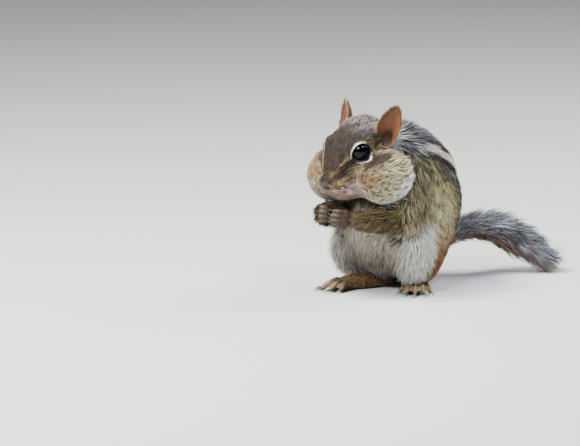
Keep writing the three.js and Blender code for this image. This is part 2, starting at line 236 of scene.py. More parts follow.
# The gap between the lids as an oval (below 0 inside), how far a place is from its edge in mm,
# its turn round the eye (0 at the front corner, 90 above) and its depth before the eye's middle.
def lidsAt(q, side):
    gaze = unit(mirrored(eye["gaze"], side))
    corner = mirrored(opening["corner"], side)
    corner = unit(corner - gaze * (corner @ gaze))
    local = q - eyeCentre(side)
    s, t, depth = local @ corner, local @ (np.cross(gaze, corner) * -side), local @ gaze
    length = np.where(s > 0, opening["front"], opening["rear"])
    power = np.where(s > 0, opening["point"], 2.0)
    share = np.abs(s) / length
    oval = share**power + (t / opening["high"]) ** 2 - 1
    slope = np.hypot(power / length * np.maximum(share, 0.02) ** (power - 1), 2 * t / opening["high"] ** 2)
    return oval, oval / np.maximum(slope, 0.12), np.degrees(np.arctan2(t, s)), depth


# How deep the coat lies on the head: thin on the muzzle and the lids, thicker on the cheeks.
def headDepth(q):
    lids = fromEyes(q)
    return 0.25 + 0.75 * smooth(-14, 2, q[:, 1]) * smooth(5.6, 9.5, lids) + 0.4 * fade(5.6, 7.0, lids)


mouthHalf = [(7.6, -12.4, -12.4), (6.2, -14.8, -11.3), (4.6, -17.0, -9.8), (2.4, -18.4, -9.4)]
mouth = [*mouthHalf, (0, -18.8, -9.4), *[(-x, y, z) for x, y, z in reversed(mouthHalf)]]
mouthPath = settle(smoothPath(mouth, 25), lambda q: headForm(q) + headDepth(q), 5)
cleft = [(0, -20.2, -7.2), (0, -19.4, -8.6), (0, -18.2, -10.4)]
creases = {"mouth": (0.55, 0.1, 1.1), "cleft": (0.5, 0.0, 0.7), "nostrilSoftness": 0.3}


def nostril(side):
    return blend(0.6, [
        egg([side * 1.75, -19.3, -5.9], [0.62, 1.1, 0.55], [0, 0, side * 30]),
        egg([side * 2.5, -18.4, -6.3], [0.5, 1.1, 0.4], [0, 0, side * 50]),
    ])


def headLocal(q):
    form = headForm(q) + headDepth(q)
    for name, path in (("mouth", mouthPath), ("cleft", cleft)):
        deep, full, gone = creases[name]
        form = form + deep * fade(full, gone, distanceToPath(q, path))
    for side in (1, -1):
        form = carved(form, nostril(side)(q), creases["nostrilSoftness"])
        oval, _, _, depth = lidsAt(q, side)
        gap = np.maximum(oval * opening["steep"], opening["depth"] - depth)
        form = carved(form, gap, opening["softness"])
    return form


headField = within(head["middle"], head["reach"], lambda p: headLocal(toHead(p)))

# Body
coatDepth = {"body": 2.1, "top": 0.6, "arm": 1.3, "wrist": 0.3}
shoulder = {side: (side * 15 - 2, -10, 49) for side in (1, -1)}
elbow = {side: (side * 20.5 - 2, -19, 36.5) for side in (1, -1)}
bodyForm = blend(7, [
    egg([0, 8, 39.5], [23.6, 22.6, 26.6]),
    egg([-1, 1, 51], [20, 20.5, 22.5]),
    egg([-1, 6, 25], [21, 19, 26.2]),
    egg([-1, -9, 26], [19.5, 15.5, 20]),
    egg([-2, -9, 43], [16, 14.5, 14]),
    rod([-1, -2, 56], [-4, -15, 62], 16, 12),
    *bothSides(lambda side: egg([side * 17.5 - 1.5, -6, 17.5], [9.6, 15.6, 14.8], [-12, 0, side * 14])),
    *bothSides(lambda side: rod(shoulder[side], elbow[side], 7, 5.6)),
])

# Forepaws and forearms
paw = {1: (1.6, -40, 36.4), -1: (-10, -40.5, 37.6)}
finger = {"count": 4, "spacing": 2.1, "radii": [0.95, 0.84, 0.94, 0.8, 0.66]}
forearm = {"elbow": 6.3, "middle": 5.4, "wrist": 2.9}
pawTurn = {side: turnAbout(0, -6) @ turnAbout(2, side * -16) for side in (1, -1)}
toPaw, fromPaw = frameOf(paw, pawTurn)


def fingerPath(side, i):
    level = (i - (finger["count"] - 1) / 2) * finger["spacing"]
    reach = 1 - 0.05 * abs(level)
    return [
        (side * 0.4, -2.6, level * 0.9),
        (side * 0.8, -5.3 * reach, level * 1.04),
        (-side * 1.0, -7.5 * reach, level),
        (-side * 3, -6.4 * reach, level * 0.82 - 0.3),
    ]


# The digits meet one another without a blend, so that the gaps between them stay sharp.
def nearestOf(fields):
    return lambda q: np.min([field(q) for field in fields], axis=0)


def pawForm(side):
    digits = nearestOf([chain(fingerPath(side, i), finger["radii"], 8, 0.3) for i in range(finger["count"])])
    local = blend(0.6, [egg([0, -1.2, 0], [2.1, 3.0, 4.2]), digits])
    return within(fromPaw([0, -4, 0], side), 13, lambda p: local(toPaw(p, side)) + 0.08)


def wrist(side):
    return np.array(paw[side]) + [side * 1.2, 2.2, -0.4]


def forearmForm(side):
    ex, ey, ez = elbow[side]
    bend = ((ex + wrist(side)[0]) / 2 + side * 1.5, -30.5, 35.5)
    radii = [forearm["elbow"] - coatDepth["arm"], forearm["middle"] - coatDepth["arm"],
             forearm["wrist"] - coatDepth["wrist"]]
    return chain([(ex - side * 2, ey + 3, ez), bend, wrist(side)], radii, 6, 1.5)


# Hind feet
foot = {"toes": 5, "spacing": 1.8, "length": 10.4, "fan": 14, "sole": 20}
footPlace = {1: (6, 4.6, 0), -1: (-4.4, -10.3, 0)}
footTurn = {1: turnAbout(2, 38), -1: turnAbout(2, -24)}
toFoot, fromFoot = frameOf(footPlace, footTurn)


def toeAt(i, reach, z):
    place = i - (foot["toes"] - 1) / 2
    way = math.radians(place * foot["fan"])
    ahead = abs(place) * 0.9 + 1.5 - foot["sole"] - math.cos(way) * reach
    return (place * foot["spacing"] + math.sin(way) * reach, ahead, z)


def toeLength(i):
    return foot["length"] - (i - (foot["toes"] - 1) / 2) ** 2


def toeForm(i):
    reach = toeLength(i)
    path = [toeAt(i, 0, 2.9), toeAt(i, reach * 0.38, 4.5), toeAt(i, reach * 0.75, 2.9), toeAt(i, reach, 1.05)]
    return chain(path, [1.2, 1.0, 1.0, 0.95, 1.1, 0.75], 9, 0.3)


def footForm(side):
    sole = chain([(0, 3, 2.8), (0, -7, 3.4), (0, -14, 3.5), (0, -20, 2.8)], [2.7, 3.3, 3.5, 3.0], 6, 1.0)
    ball = chain([(-2.6, -19, 2.6), (0, -18.5, 3.0), (2.6, -19, 2.6)], [2.2, 2.5, 2.2], 4, 1.0)
    local = blend(0.9, [sole, ball, nearestOf([toeForm(i) for i in range(foot["toes"])])])
    return within(fromFoot([0, -13, 3], side), 24,
                  lambda p: np.maximum(local(toFoot(p, side)) + 0.15, 0.05 - p[:, 2]))


# Tail
tail = {
    "path": [(0, 22, 15), (2, 35, 20.5), (7, 50, 21.5), (17, 62, 15.5), (26, 68.5, 8.2), (34.5, 72.5, 4.3)],
    "width": [4.6, 6.6, 7.6, 7.8, 7, 5.4],
    "height": [4.4, 5.8, 6.4, 6.6, 6, 4.4],
    "core": 0.4,
    "coreEnd": 0.84,
    "hidden": 0.8,
}
tailLine = smoothPath(tail["path"], 61)
tailShare = np.concatenate([[0], np.cumsum(np.linalg.norm(np.diff(tailLine, axis=0), axis=1))])
tailShare = tailShare / tailShare[-1]


def tailPoint(share):
    return np.array([np.interp(share, tailShare, tailLine[:, k]) for k in range(3)]).T


def tailRadius(share):
    keys = np.linspace(0, 1, len(tail["width"]))
    return (np.interp(share, keys, tail["width"]) + np.interp(share, keys, tail["height"])) / 2


coreShares = np.linspace(0.0, tail["coreEnd"], 13)
coreRadii = tailRadius(coreShares) * tail["core"] * (1 - 0.5 * smooth(0.6, 0.84, coreShares))
corePoints = tailPoint(coreShares)


# The coat is thin over the shoulders' top, where its hair stands up more.
def bodyField(p):
    top = smooth(48, 62, p[:, 2]) * smooth(-16, -4, p[:, 1])
    return bodyForm(p) + mix(coatDepth["body"], coatDepth["top"], top)


parts = {
    "body": bodyField, "head": headField,
    "armLeft": forearmForm(1), "armRight": forearmForm(-1),
    "pawLeft": pawForm(1), "pawRight": pawForm(-1),
    "footLeft": footForm(1), "footRight": footForm(-1),
    "tail": blend(1.5, rods(corePoints, coreRadii)),
}
partNames = list(parts)
sideOf = {name: 1 if name.endswith("Left") else -1 for name in partNames}
floorGap = 0.05


def wholeField(p):
    whole = blend(3.0, [parts["body"], parts["head"]])
    for softness, kind in ((2.5, "arm"), (1.0, "paw"), (1.8, "foot")):
        whole = blend(softness, [whole, parts[kind + "Left"], parts[kind + "Right"]])
    return np.maximum(blend(3.0, [whole, parts["tail"]])(p), floorGap - p[:, 2])


eyesInFrame = sum((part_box("eye_left")[k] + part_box("eye_right")[k] for k in (0, 1)), Vector()) / 4
origin = np.array(eyesInFrame) / mm - fromHead([0, eye["back"], eye["up"]])


def toScene(p):
    return (np.asarray(p, float) + origin) * mm


# Camera, lights and floor
view = {"azimuth": 42, "elevation": 10, "mmPerPixel": 0.46, "width": 580, "height": 446, "distance": 2000,
        "originAt": (401, 285), "sensor": 36, "near": 0.05, "far": 20}
lamps = {
    "key": {"from": (-0.35, -0.45, 1.0), "distance": 0.75, "size": 0.3, "power": 14.5, "color": (1.0, 0.96, 0.90)},
    "sky": {"from": (0.14, -0.80, 0.66), "distance": 0.8, "size": 0.3, "power": 8.6, "color": (0.80, 0.90, 1.0)},
    "skyHigh": {"from": (0.57, -0.04, 0.82), "distance": 0.8, "size": 0.18, "power": 3.4, "color": (0.76, 0.88, 1.0)},
    "rim": {"from": (0.4, 1.0, 0.9), "distance": 0.8, "size": 0.5, "power": 7.0, "color": (1.0, 0.98, 0.95)},
}
lampAim = (0, 0, 0.045)
backdrop = {"color": (0.86, 0.90, 0.96, 1), "strength": 0.18}


def addAimed(name, data, place, ahead):
    holder = bpy.data.objects.new(name, data)
    holder.location = place
    holder.rotation_euler = Vector(ahead).to_track_quat("-Z", "Y").to_euler()
    bpy.context.scene.collection.objects.link(holder)
    return holder


def addCamera():
    azimuth, elevation = math.radians(view["azimuth"]), math.radians(view["elevation"])
    level = math.cos(elevation)
    right = np.array([math.cos(azimuth), math.sin(azimuth), 0])
    ahead = np.array([-math.sin(azimuth) * level, math.cos(azimuth) * level, -math.sin(elevation)])
    across = (view["width"] / 2 - view["originAt"][0]) * view["mmPerPixel"]
    above = (view["originAt"][1] - view["height"] / 2) * view["mmPerPixel"]
    middle = right * across + np.cross(right, ahead) * above
    camera = bpy.data.cameras.new("camera")
    camera.sensor_width = view["sensor"]
    camera.lens = view["sensor"] * view["distance"] / (view["width"] * view["mmPerPixel"])
    camera.clip_start, camera.clip_end = view["near"], view["far"]
    place = toScene(middle - ahead * view["distance"])
    bpy.context.scene.camera = addAimed("camera", camera, place, ahead)


def addLamp(name, spec):
    lamp = bpy.data.lights.new(name, "AREA")
    lamp.shape = "DISK"
    lamp.size, lamp.energy, lamp.color = spec["size"], spec["power"], spec["color"]
    way = Vector(spec["from"]).normalized()
    addAimed(name, lamp, Vector(lampAim) + way * spec["distance"], -way)


addCamera()
for lampName, lampSpec in lamps.items():
    addLamp(lampName, lampSpec)
world = bpy.data.worlds.new("studio")
bpy.context.scene.world = world
world.use_nodes = True
world.node_tree.nodes["Background"].inputs["Color"].default_value = backdrop["color"]
world.node_tree.nodes["Background"].inputs["Strength"].default_value = backdrop["strength"]


# Node trees: one class for sockets with sums, and one way to add any node
class Wire:
    def __init__(self, tree, socket):
        self.tree, self.socket = tree, socket

    def calc(self, operation, first, second):
        return add(self.tree, "ShaderNodeMath", {"operation": operation}, {0: first, 1: second})[0]

    def __add__(self, other):
        return self.calc("ADD", self, other)

    def __sub__(self, other):
        return self.calc("SUBTRACT", self, other)

    def __rsub__(self, other):
        return self.calc("SUBTRACT", other, self)

    def __mul__(self, other):
        return self.calc("MULTIPLY", self, other)

    __radd__, __rmul__ = __add__, __mul__

    def clamped(self):
        return add(self.tree, "ShaderNodeClamp", {}, {"Value": self})[0]


def setSockets(tree, node, values):
    for name, value in values.items():
        if isinstance(value, Wire):
            tree.links.new(value.socket, node.inputs[name])
        else:
            node.inputs[name].default_value = value


def add(tree, kind, settings, values):
    made = tree.nodes.new(kind)
    for name, value in settings.items():
        setattr(made, name, value)
    setSockets(tree, made, values)
    return [Wire(tree, out) for out in made.outputs]


# An attribute's colour is output 0 and its number output 2.
def attribute(tree, name, output=2):
    return add(tree, "ShaderNodeAttribute", {"attribute_name": name}, {})[output]


def mixColor(tree, share, first, second, way="MIX"):
    return add(tree, "ShaderNodeMix", {"data_type": "RGBA", "blend_type": way}, {0: share, 6: first, 7: second})[2]


def newMaterial(name):
    material = bpy.data.materials.new(name)
    material.use_nodes = True
    return material, material.node_tree, material.node_tree.nodes["Principled BSDF"]


def objectPlace(tree):
    return add(tree, "ShaderNodeTexCoord", {}, {})[3]


def noise(tree, place, scale, detail=3, roughness=0.6):
    return add(tree, "ShaderNodeTexNoise", {"noise_dimensions": "3D"},
               {"Vector": place, "Scale": scale, "Detail": detail, "Roughness": roughness})[0]


def bumped(tree, height, strength, distance):
    return add(tree, "ShaderNodeBump", {}, {"Strength": strength, "Distance": distance, "Height": height})[0]


def hexColor(code):
    levels = [int(code[i : i + 2], 16) / 255 for i in (0, 2, 4)]
    return np.array([((c + 0.055) / 1.055) ** 2.4 if c > 0.04045 else c / 12.92 for c in levels])


# A plain finish whose colour and roughness vary a little with one noise
def speckled(name, scale, detail, low, high, rough, roughMore=0.0, specular=0.5):
    material, tree, shader = newMaterial(name)
    grain = noise(tree, objectPlace(tree), scale, detail)
    color = mixColor(tree, grain, (*low, 1), (*high, 1))
    roughness = rough + roughMore * grain if roughMore else rough
    setSockets(tree, shader, {"Base Color": color, "Roughness": roughness, "Specular IOR Level": specular})
    return material


def meshOf(points, faces, name="mesh"):
    mesh = bpy.data.meshes.new(name)
    mesh.from_pydata([tuple(p) for p in points], [], [tuple(f) for f in faces])
    mesh.validate()
    return mesh


def addPiece(name, mesh, slot, finish=None, replaced=()):
    mesh.name = name
    mesh.polygons.foreach_set("use_smooth", np.ones(len(mesh.polygons), bool))
    if finish:
        mesh.materials.append(finish)
    piece = bpy.data.objects.new(name, mesh)
    bpy.context.scene.collection.objects.link(piece)
    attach(piece, "root")
    if replaced:
        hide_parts(*replaced)
    return piece


def addFloor(half=6.0):
    corners = [(-half, -half, 0), (half, -half, 0), (half, half, 0), (-half, half, 0)]
    mesh = meshOf(corners, [(0, 1, 2, 3)], "floor")
    mesh.materials.append(speckled("studioFloor", 60, 4, (0.62, 0.61, 0.60), (0.605, 0.595, 0.585), 0.75))
    floor = bpy.data.objects.new("floor", mesh)
    bpy.context.scene.collection.objects.link(floor)


addFloor()
print("camera, lights and floor set")

# Skin: one closed form over every node of flesh
skinSpec = {"voxel": 0.66, "grow": 0.35, "steps": 3, "relax": 0.5, "rounds": 2, "eyeBall": 5.3, "tube": 1.05}
finer = {"eye": 7.2, "paw": 7.5, "mouthWide": 9.5, "mouthLow": -14.5, "mouthHigh": 2, "mouthBack": -9.5,
         "toesFront": -32, "toesBack": -17, "toesWide": 9, "toesHigh": 7}
limbNodes = ("thigh", "upper_arm", "forearm", "paw", "foot")
fleshNodes = ["head", "neck", "torso"] + [f"{limb}_{side}" for limb in limbNodes for side in ("left", "right")]
tailNodes = ["tail_1", "tail_2", "tail_3"]


def readArray(items, name, width=1, kind=np.float32):
    values = np.empty(len(items) * width, kind)
    items.foreach_get(name, values)
    return values.reshape(-1, width) if width > 1 else values


def meshFrom(work, name):
    mesh = bpy.data.meshes.new(name)
    work.to_mesh(mesh)
    work.free()
    return mesh


def ringFaces(first, rings, sides):
    starts = [first + i * sides for i in range(rings - 1)]
    pairs = [(start + k, start + (k + 1) % sides) for start in starts for k in range(sides)]
    return [(a, b, b + sides, a + sides) for a, b in pairs]


def tubeParts(points, radii, sides):
    points = np.array(points, float)
    ahead = unit(np.gradient(points, axis=0))
    side = unit(np.cross(ahead, np.array([0.0, 0.0, 1.0])))
    upward = np.cross(side, ahead)
    angles = np.linspace(0, 2 * math.pi, sides, endpoint=False)
    c, s = np.cos(angles)[:, None], np.sin(angles)[:, None]
    rings = [points[i] + radii[i] * (c * side[i] + s * upward[i]) for i in range(len(points))]
    vertices = np.array([points[0], *np.vstack(rings), points[-1]])
    faces = ringFaces(1, len(points), sides)
    last, top = len(vertices) - 1, 1 + (len(points) - 1) * sides
    for k in range(sides):
        faces.append((0, 1 + (k + 1) % sides, 1 + k))
        faces.append((last, top + k, top + (k + 1) % sides))
    return vertices, faces


def grownCopy(name):
    work = bmesh.new()
    work.from_mesh(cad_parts[name].data)
    bmesh.ops.remove_doubles(work, verts=work.verts, dist=1e-6)
    work.normal_update()
    for v in work.verts:
        v.co += v.normal * skinSpec["grow"] * mm
    return meshFrom(work, "piece")


def joinedBase():
    whole = bmesh.new()
    for name in fleshNodes:
        mesh = grownCopy(name)
        whole.from_mesh(mesh)
        bpy.data.meshes.remove(mesh)
    for side in (1, -1):
        ball = bmesh.ops.create_icosphere(whole, subdivisions=3, radius=skinSpec["eyeBall"] * mm)
        bmesh.ops.translate(whole, verts=ball["verts"], vec=toScene(fromHead(eyeCentre(side))))
    whole.from_mesh(meshOf(*tubeParts(toScene(corePoints), coreRadii * mm * skinSpec["tube"], 16)))
    return meshFrom(whole, "base")


def voxelForm(mesh):
    thing = bpy.data.objects.new("base", mesh)
    bpy.context.scene.collection.objects.link(thing)
    remesh = thing.modifiers.new("remesh", "REMESH")
    remesh.mode = "VOXEL"
    remesh.voxel_size = skinSpec["voxel"] * mm
    made = bpy.data.meshes.new_from_object(thing.evaluated_get(bpy.context.evaluated_depsgraph_get()))
    bpy.data.objects.remove(thing)
    return made


# The face, the fingers and the toes are split finer before the skin settles on the form.
def refined(mesh):
    work = bmesh.new()
    work.from_mesh(mesh)
    p = np.array([f.calc_center_median() for f in work.faces]) / mm - origin
    x, y, z = toHead(p).T
    chosen = (y < finer["mouthBack"]) & (np.abs(x) < finer["mouthWide"])
    chosen &= (z > finer["mouthLow"]) & (z < finer["mouthHigh"])
    chosen |= fromEyes(toHead(p)) < finer["eye"]
    for side in (1, -1):
        chosen |= np.linalg.norm(p - fromPaw([0, -4.5, 0], side), axis=1) < finer["paw"]
        x, y, z = toFoot(p, side).T
        atToes = (y < finer["toesBack"]) & (y > finer["toesFront"])
        chosen |= atToes & (np.abs(x) < finer["toesWide"]) & (z < finer["toesHigh"])
    edges = {e for f, pick in zip(work.faces, chosen) if pick for e in f.edges}
    bmesh.ops.subdivide_edges(work, edges=list(edges), cuts=1, use_grid_fill=True)
    bmesh.ops.triangulate(work, faces=[f for f in work.faces if len(f.verts) > 4])
    work.to_mesh(mesh)
    work.free()
    return mesh


def relax(mesh, p, amount, rounds):
    a, b = readArray(mesh.edges, "vertices", 2, np.int32).T
    count = np.bincount(a, minlength=len(p)) + np.bincount(b, minlength=len(p))
    for _ in range(rounds):
        total = np.zeros_like(p)
        for k in range(3):
            total[:, k] = np.bincount(a, p[b, k], len(p)) + np.bincount(b, p[a, k], len(p))
        p = mix(p, total / np.maximum(count, 1)[:, None], amount)
    return p


skinMesh = refined(voxelForm(joinedBase()))
skinPlaces = readArray(skinMesh.vertices, "co", 3).astype(float) / mm - origin
skinPlaces = relax(skinMesh, settle(skinPlaces, wholeField, 2), skinSpec["relax"], skinSpec["rounds"])
skinPlaces = settle(skinPlaces, wholeField, skinSpec["steps"])
skinMesh.vertices.foreach_set("co", toScene(skinPlaces).astype(np.float32).ravel())
skinMesh.update()
print("skin formed with", len(skinMesh.polygons), "faces")

# Markings: where each colour lies, for skin and coat alike
tones = {name: hexColor(code) for name, code in {
    # the crown's grey tone is partly the fur's own grey and partly painted highlight
    "crown": "3e2e1b", "crownGreyAndHighlight": "a09390", "brow": "ece2c8", "temple": "b0975f", "rust": "4c2814",
    "russet": "7a4a22", "buff": "b0935c", "muzzle": "9a6e3c", "cheek": "dccfa2", "cheekWhite": "f0eee2",
    # the chin tone is pinkish white darkened by painted shade under the head
    "beige": "bda68c", "chin": "c4ab99", "lipGrey": "d2ccbc", "nose": "45301e", "dark": "0e0a08",
    "lip": "9e3a40", "lipDark": "6a2226", "nape": "d4d8dc", "back": "82735a", "backGrey": "94989f",
    "stripeDark": "0c0b11", "stripePale": "f2ead4", "flank": "b9aa7c", "flankPale": "dcd6ba",
    "shoulder": "857a58", "belly": "d6ccb8", "bellyShade": "564b3c", "thigh": "e0e0da", "rump": "8a5526",
    # painted shade: the darkest belly tone, for the belly between the legs
    "arm": "6a5930", "paw": "4c3721", "foot": "7c5828", "toe": "8a7250", "tailTop": "7e8189",
    "tailUnder": "7c5230",
}.items()}


# The colour of each place, its share of dark hairs and how bare its skin is
class Marks:
    def __init__(self, tone, dark, bare=0.0):
        self.color = np.tile(tones[tone], (len(dark), 1))
        self.dark = dark
        self.bare = np.zeros(len(dark)) + bare

    def paint(self, tone, share, strength=1.0, dark=None):
        self.color = mix(self.color, tones[tone], share * strength)
        if dark is not None:
            self.dark = mix(self.dark, dark, share)

    def cover(self, mine, other, share):
        self.color[mine] = mix(self.color[mine], other.color, share)
        self.dark[mine] = mix(self.dark[mine], other.dark, share)
        self.bare[mine] = other.bare * share


def swirl(p, size, seed, waves=6):
    local = np.random.default_rng(seed)
    total = np.zeros(len(p))
    for _ in range(waves):
        way = local.normal(size=3)
        total += np.sin(p @ (unit(way) * (2 * math.pi / size) * local.uniform(0.6, 1.5)) + local.uniform(0, 6.3))
    return total / 3


faceLines = {
    "bridge": [(0, -7, 4.0), (0, -14, -0.6), (0, -18, -2.8)],
    "cheekFront": [(2.9, -16.4, -4.4), (6.9, -9.3, -4.6), (10.2, -6.2, -4.6)],
    "cheekBack": [(14.8, -4.2, -4.4), (17.6, -1.5, -2.6), (20.2, 1, -2.2), (21.6, 6.6, -2.6), (20.4, 11, -2.0)],
    "tearLine": [(3.2, -15.2, -1.8), (4.6, -12.5, -1.6), (6.2, -9.7, 0.2), (7.6, -7.0, 1.6), (8.8, -5.6, 2.4)],
    "streak": [(12.2, 2.6, 5.4), (12.0, 5.0, 5.2), (11.8, 8.0, 4.4), (11.6, 11.0, 3.4)],
    "upperLip": [(3.9, -15.9, -8.8), (5.8, -14.2, -9.3), (8.6, -11.0, -10.2), (10.6, -9.6, -9.6)],
    # the line down the nose below is painted shade, not a marking
    "noseShadeLine": [(0.0, -16.0, -1.4), (0.2, -19.4, -3.2), (0.3, -20.4, -5.6), (0.3, -20, -7.6)],
}


# Cream arcs over and under the eye, dark behind it and at its front corner
def eyeArcs(marks, q, wobble):
    arcs = np.zeros(len(q))
    for side in (1, -1):
        _, edge, turn, depth = lidsAt(q, side)
        mine = smooth(-1.5, 0.0, depth)
        edge = edge + wobble * 0.3
        over = smooth(6, 16, turn) * fade(148, 168, turn)
        wideOver = 0.45 + 0.2 * smooth(60, 90, turn) - 0.35 * smooth(115, 160, turn)
        under = smooth(-20, -34, turn) * smooth(-148, -128, turn)
        wideUnder = 0.5 + 0.2 * smooth(-60, -110, turn)
        arc = np.maximum(over * fade(wideOver - 0.3, wideOver + 0.4, edge),
                         under * fade(wideUnder - 0.3, wideUnder + 0.4, edge))
        arcs = np.maximum(arcs, arc * mine)
        marks.paint("dark", smooth(138, 150, np.abs(turn)) * fade(0.4, 1.6, edge) * mine, 0.8)
        marks.paint("dark", fade(8, 16, np.abs(turn + 4)) * fade(0.6, 1.8, edge) * mine, 0.85)
    marks.paint("brow", arcs, dark=0.03)


# Bare skin: nose, nostrils, lips and lid edges, with painted shade in the nostrils, the mouth's crease and the cleft
def bareFace(marks, q):
    pad = fade(0.1, 0.9, egg([0, -18.3, -6.0], [2.7, 2.3, 2.5])(q))
    hole = np.min([nostril(side)(q) for side in (1, -1)], axis=0)
    slit = distanceToPath(q, mouthPath)
    x = np.abs(q[:, 0])
    pink = smooth(4.0, 4.6, x) * fade(6.9, 7.6, x)
    marks.paint("nose", pad)
    # painted shade: the nostrils, the mouth's crease and the cleft are painted dark; the darker red in the mouth's
    # middle is partly the lip's own colour and partly painted shade
    marks.paint("dark", fade(0.1, 0.7, hole))
    marks.paint("dark", fade(0.0, 0.5, slit) * 0.75 * (1 - pink))
    marks.paint("lip", fade(0.95, 1.25, slit) * pink)
    marks.paint("lipDark", fade(0.0, 0.4, slit) * pink, 0.5)
    marks.paint("dark", fade(0.2, 0.55, distanceToPath(q, cleft)), 0.8)
    lips = fade(0.9 + 0.4 * pink, 1.3 + 0.4 * pink, slit)
    marks.bare = np.maximum.reduce([pad, fade(0.6, 1.2, hole), lips])
    for side in (1, -1):
        _, edge, _, depth = lidsAt(q, side)
        front = smooth(-0.5, 0.5, depth)
        marks.paint("dark", fade(0.15, 0.45, edge) * front)
        marks.bare = np.maximum(marks.bare, fade(0.5, 0.9, edge) * front)


def headMarks(q, skinToo):
    x, y, z = np.abs(q[:, 0]), q[:, 1], q[:, 2]
    wobble = 0.3 * swirl(q, 4.0, 3)
    fleck = smooth(-0.6, 0.6, swirl(q, 1.7, 8))

    def line(name, full, gone, off=0.0):
        return fade(full, gone, distanceToPath(np.column_stack([x, y, z]), faceLines[name]) + off)

    marks = Marks("crown", mix(0.25 + 0.4 * fleck, 0.3 + 0.45 * fleck, fade(-4, 2, y)))
    # grey over the crown's top and rear: partly the fur's own grey, partly painted highlight from the light above
    marks.paint("crownGreyAndHighlight", smooth(2, 13, y) * smooth(2, 7, z), 0.8)
    marks.paint("russet", fade(-12, -6, y), 0.2)
    marks.paint("temple", smooth(9.5, 12.5, x) * smooth(2, 7, y), 0.8)
    marks.paint("rust", line("bridge", 0.3, 1.6), 0.7)
    # cheeks, from brown gold at the front to white below
    low = smooth(-1.6, -5.4, z + 0.10 * (x - 12) + 3.0 * smooth(-6, -12, y) + wobble)
    marks.paint("cheek", low, dark=0.2 + 0.44 * fleck)
    gold = low * fade(-10, 2, y) * smooth(-14, -7, z)
    marks.paint("muzzle", gold, 0.95)
    marks.dark = mix(marks.dark, 0.34 + 0.4 * fleck, gold * smooth(-6, -11, y))
    marks.paint("cheekWhite", smooth(-12.5, -20, z - 0.30 * y + 1.5 * wobble), dark=0.16)
    marks.paint("beige", smooth(3, 9, y) * smooth(0, -4, z) * smooth(-16, -10, z) * 0.6, dark=0.1)
    marks.paint("nape", smooth(17, 21, y) * smooth(5, 10, x), 0.4)
    # dark band from the nose under the eye to the ear's root
    marks.paint("rust", line("cheekFront", 0.2, 2.1, wobble), 0.75)
    wide = 0.5 + 0.9 * smooth(14, 19, x)
    marks.paint("rust", line("cheekBack", wide, wide + 1.4, wobble), 0.9, dark=0.5)
    marks.paint("buff", line("tearLine", 0.2, 1.5, wobble), 0.8)
    eyeArcs(marks, q, wobble)
    marks.paint("buff", line("streak", 0.4, 1.8, wobble), 0.7)
    # chin and throat, smooth and pinkish white in a tone darkened by painted shade
    chin = smooth(-8.9, -10.3, z - 0.05 * x + 0.1 * (y + 12)) * fade(10.5, 15.5, x - 0.45 * (y + 14))
    pouch = smooth(-12, -15, q[:, 0]) * smooth(-10, -16, z) * fade(-4, 2, y)
    marks.paint("chin", np.maximum(chin, 0.7 * pouch), dark=0.05)
    marks.paint("lipGrey", line("upperLip", 0.6, 2.4), 0.8, dark=0.3)
    # painted shade: a dark line down the nose's middle to its tip, for the nose's shaded far side
    marks.paint("dark", line("noseShadeLine", 0.3, 1.3), 0.8, dark=0.6)
    if skinToo:
        bareFace(marks, q)
    return marks


# The trunk's middle line from the neck to the rump as (y, z)
trunkLine = np.array([(-16, 58), (-4, 53), (4, 44), (6, 32), (7, 20), (10, 10)], float)


# The turn round the trunk's line, from 0 on the back to 180 on the belly, and the share along it
def roundTrunk(p):
    flat = p[:, 1:]
    best = np.full(len(p), np.inf)
    angle, along = np.zeros(len(p)), np.zeros(len(p))
    for i, (a, b) in enumerate(zip(trunkLine[:-1], trunkLine[1:])):
        way = b - a
        share = np.clip((flat - a) @ way / (way @ way), 0 if i else -1, 1)
        off = flat - (a + share[:, None] * way)
        distance = np.linalg.norm(off, axis=1)
        up = np.array([-way[1], way[0]]) / np.linalg.norm(way)
        nearer = distance < best
        best = np.where(nearer, distance, best)
        angle = np.where(nearer, np.degrees(np.arctan2(np.abs(p[:, 0] + 1), off @ up)), angle)
        along = np.where(nearer, (i + share) / (len(trunkLine) - 1), along)
    return angle, along


# The turn round the upright, from 0 behind to 180 in front
def turnRound(p):
    return np.degrees(np.arctan2(np.abs(p[:, 0] + 1), p[:, 1]))


stripes = {"dark": 42.0, "pale": 51.5, "low": 61.0, "half": 3.9, "start": 0.14, "end": 0.86}


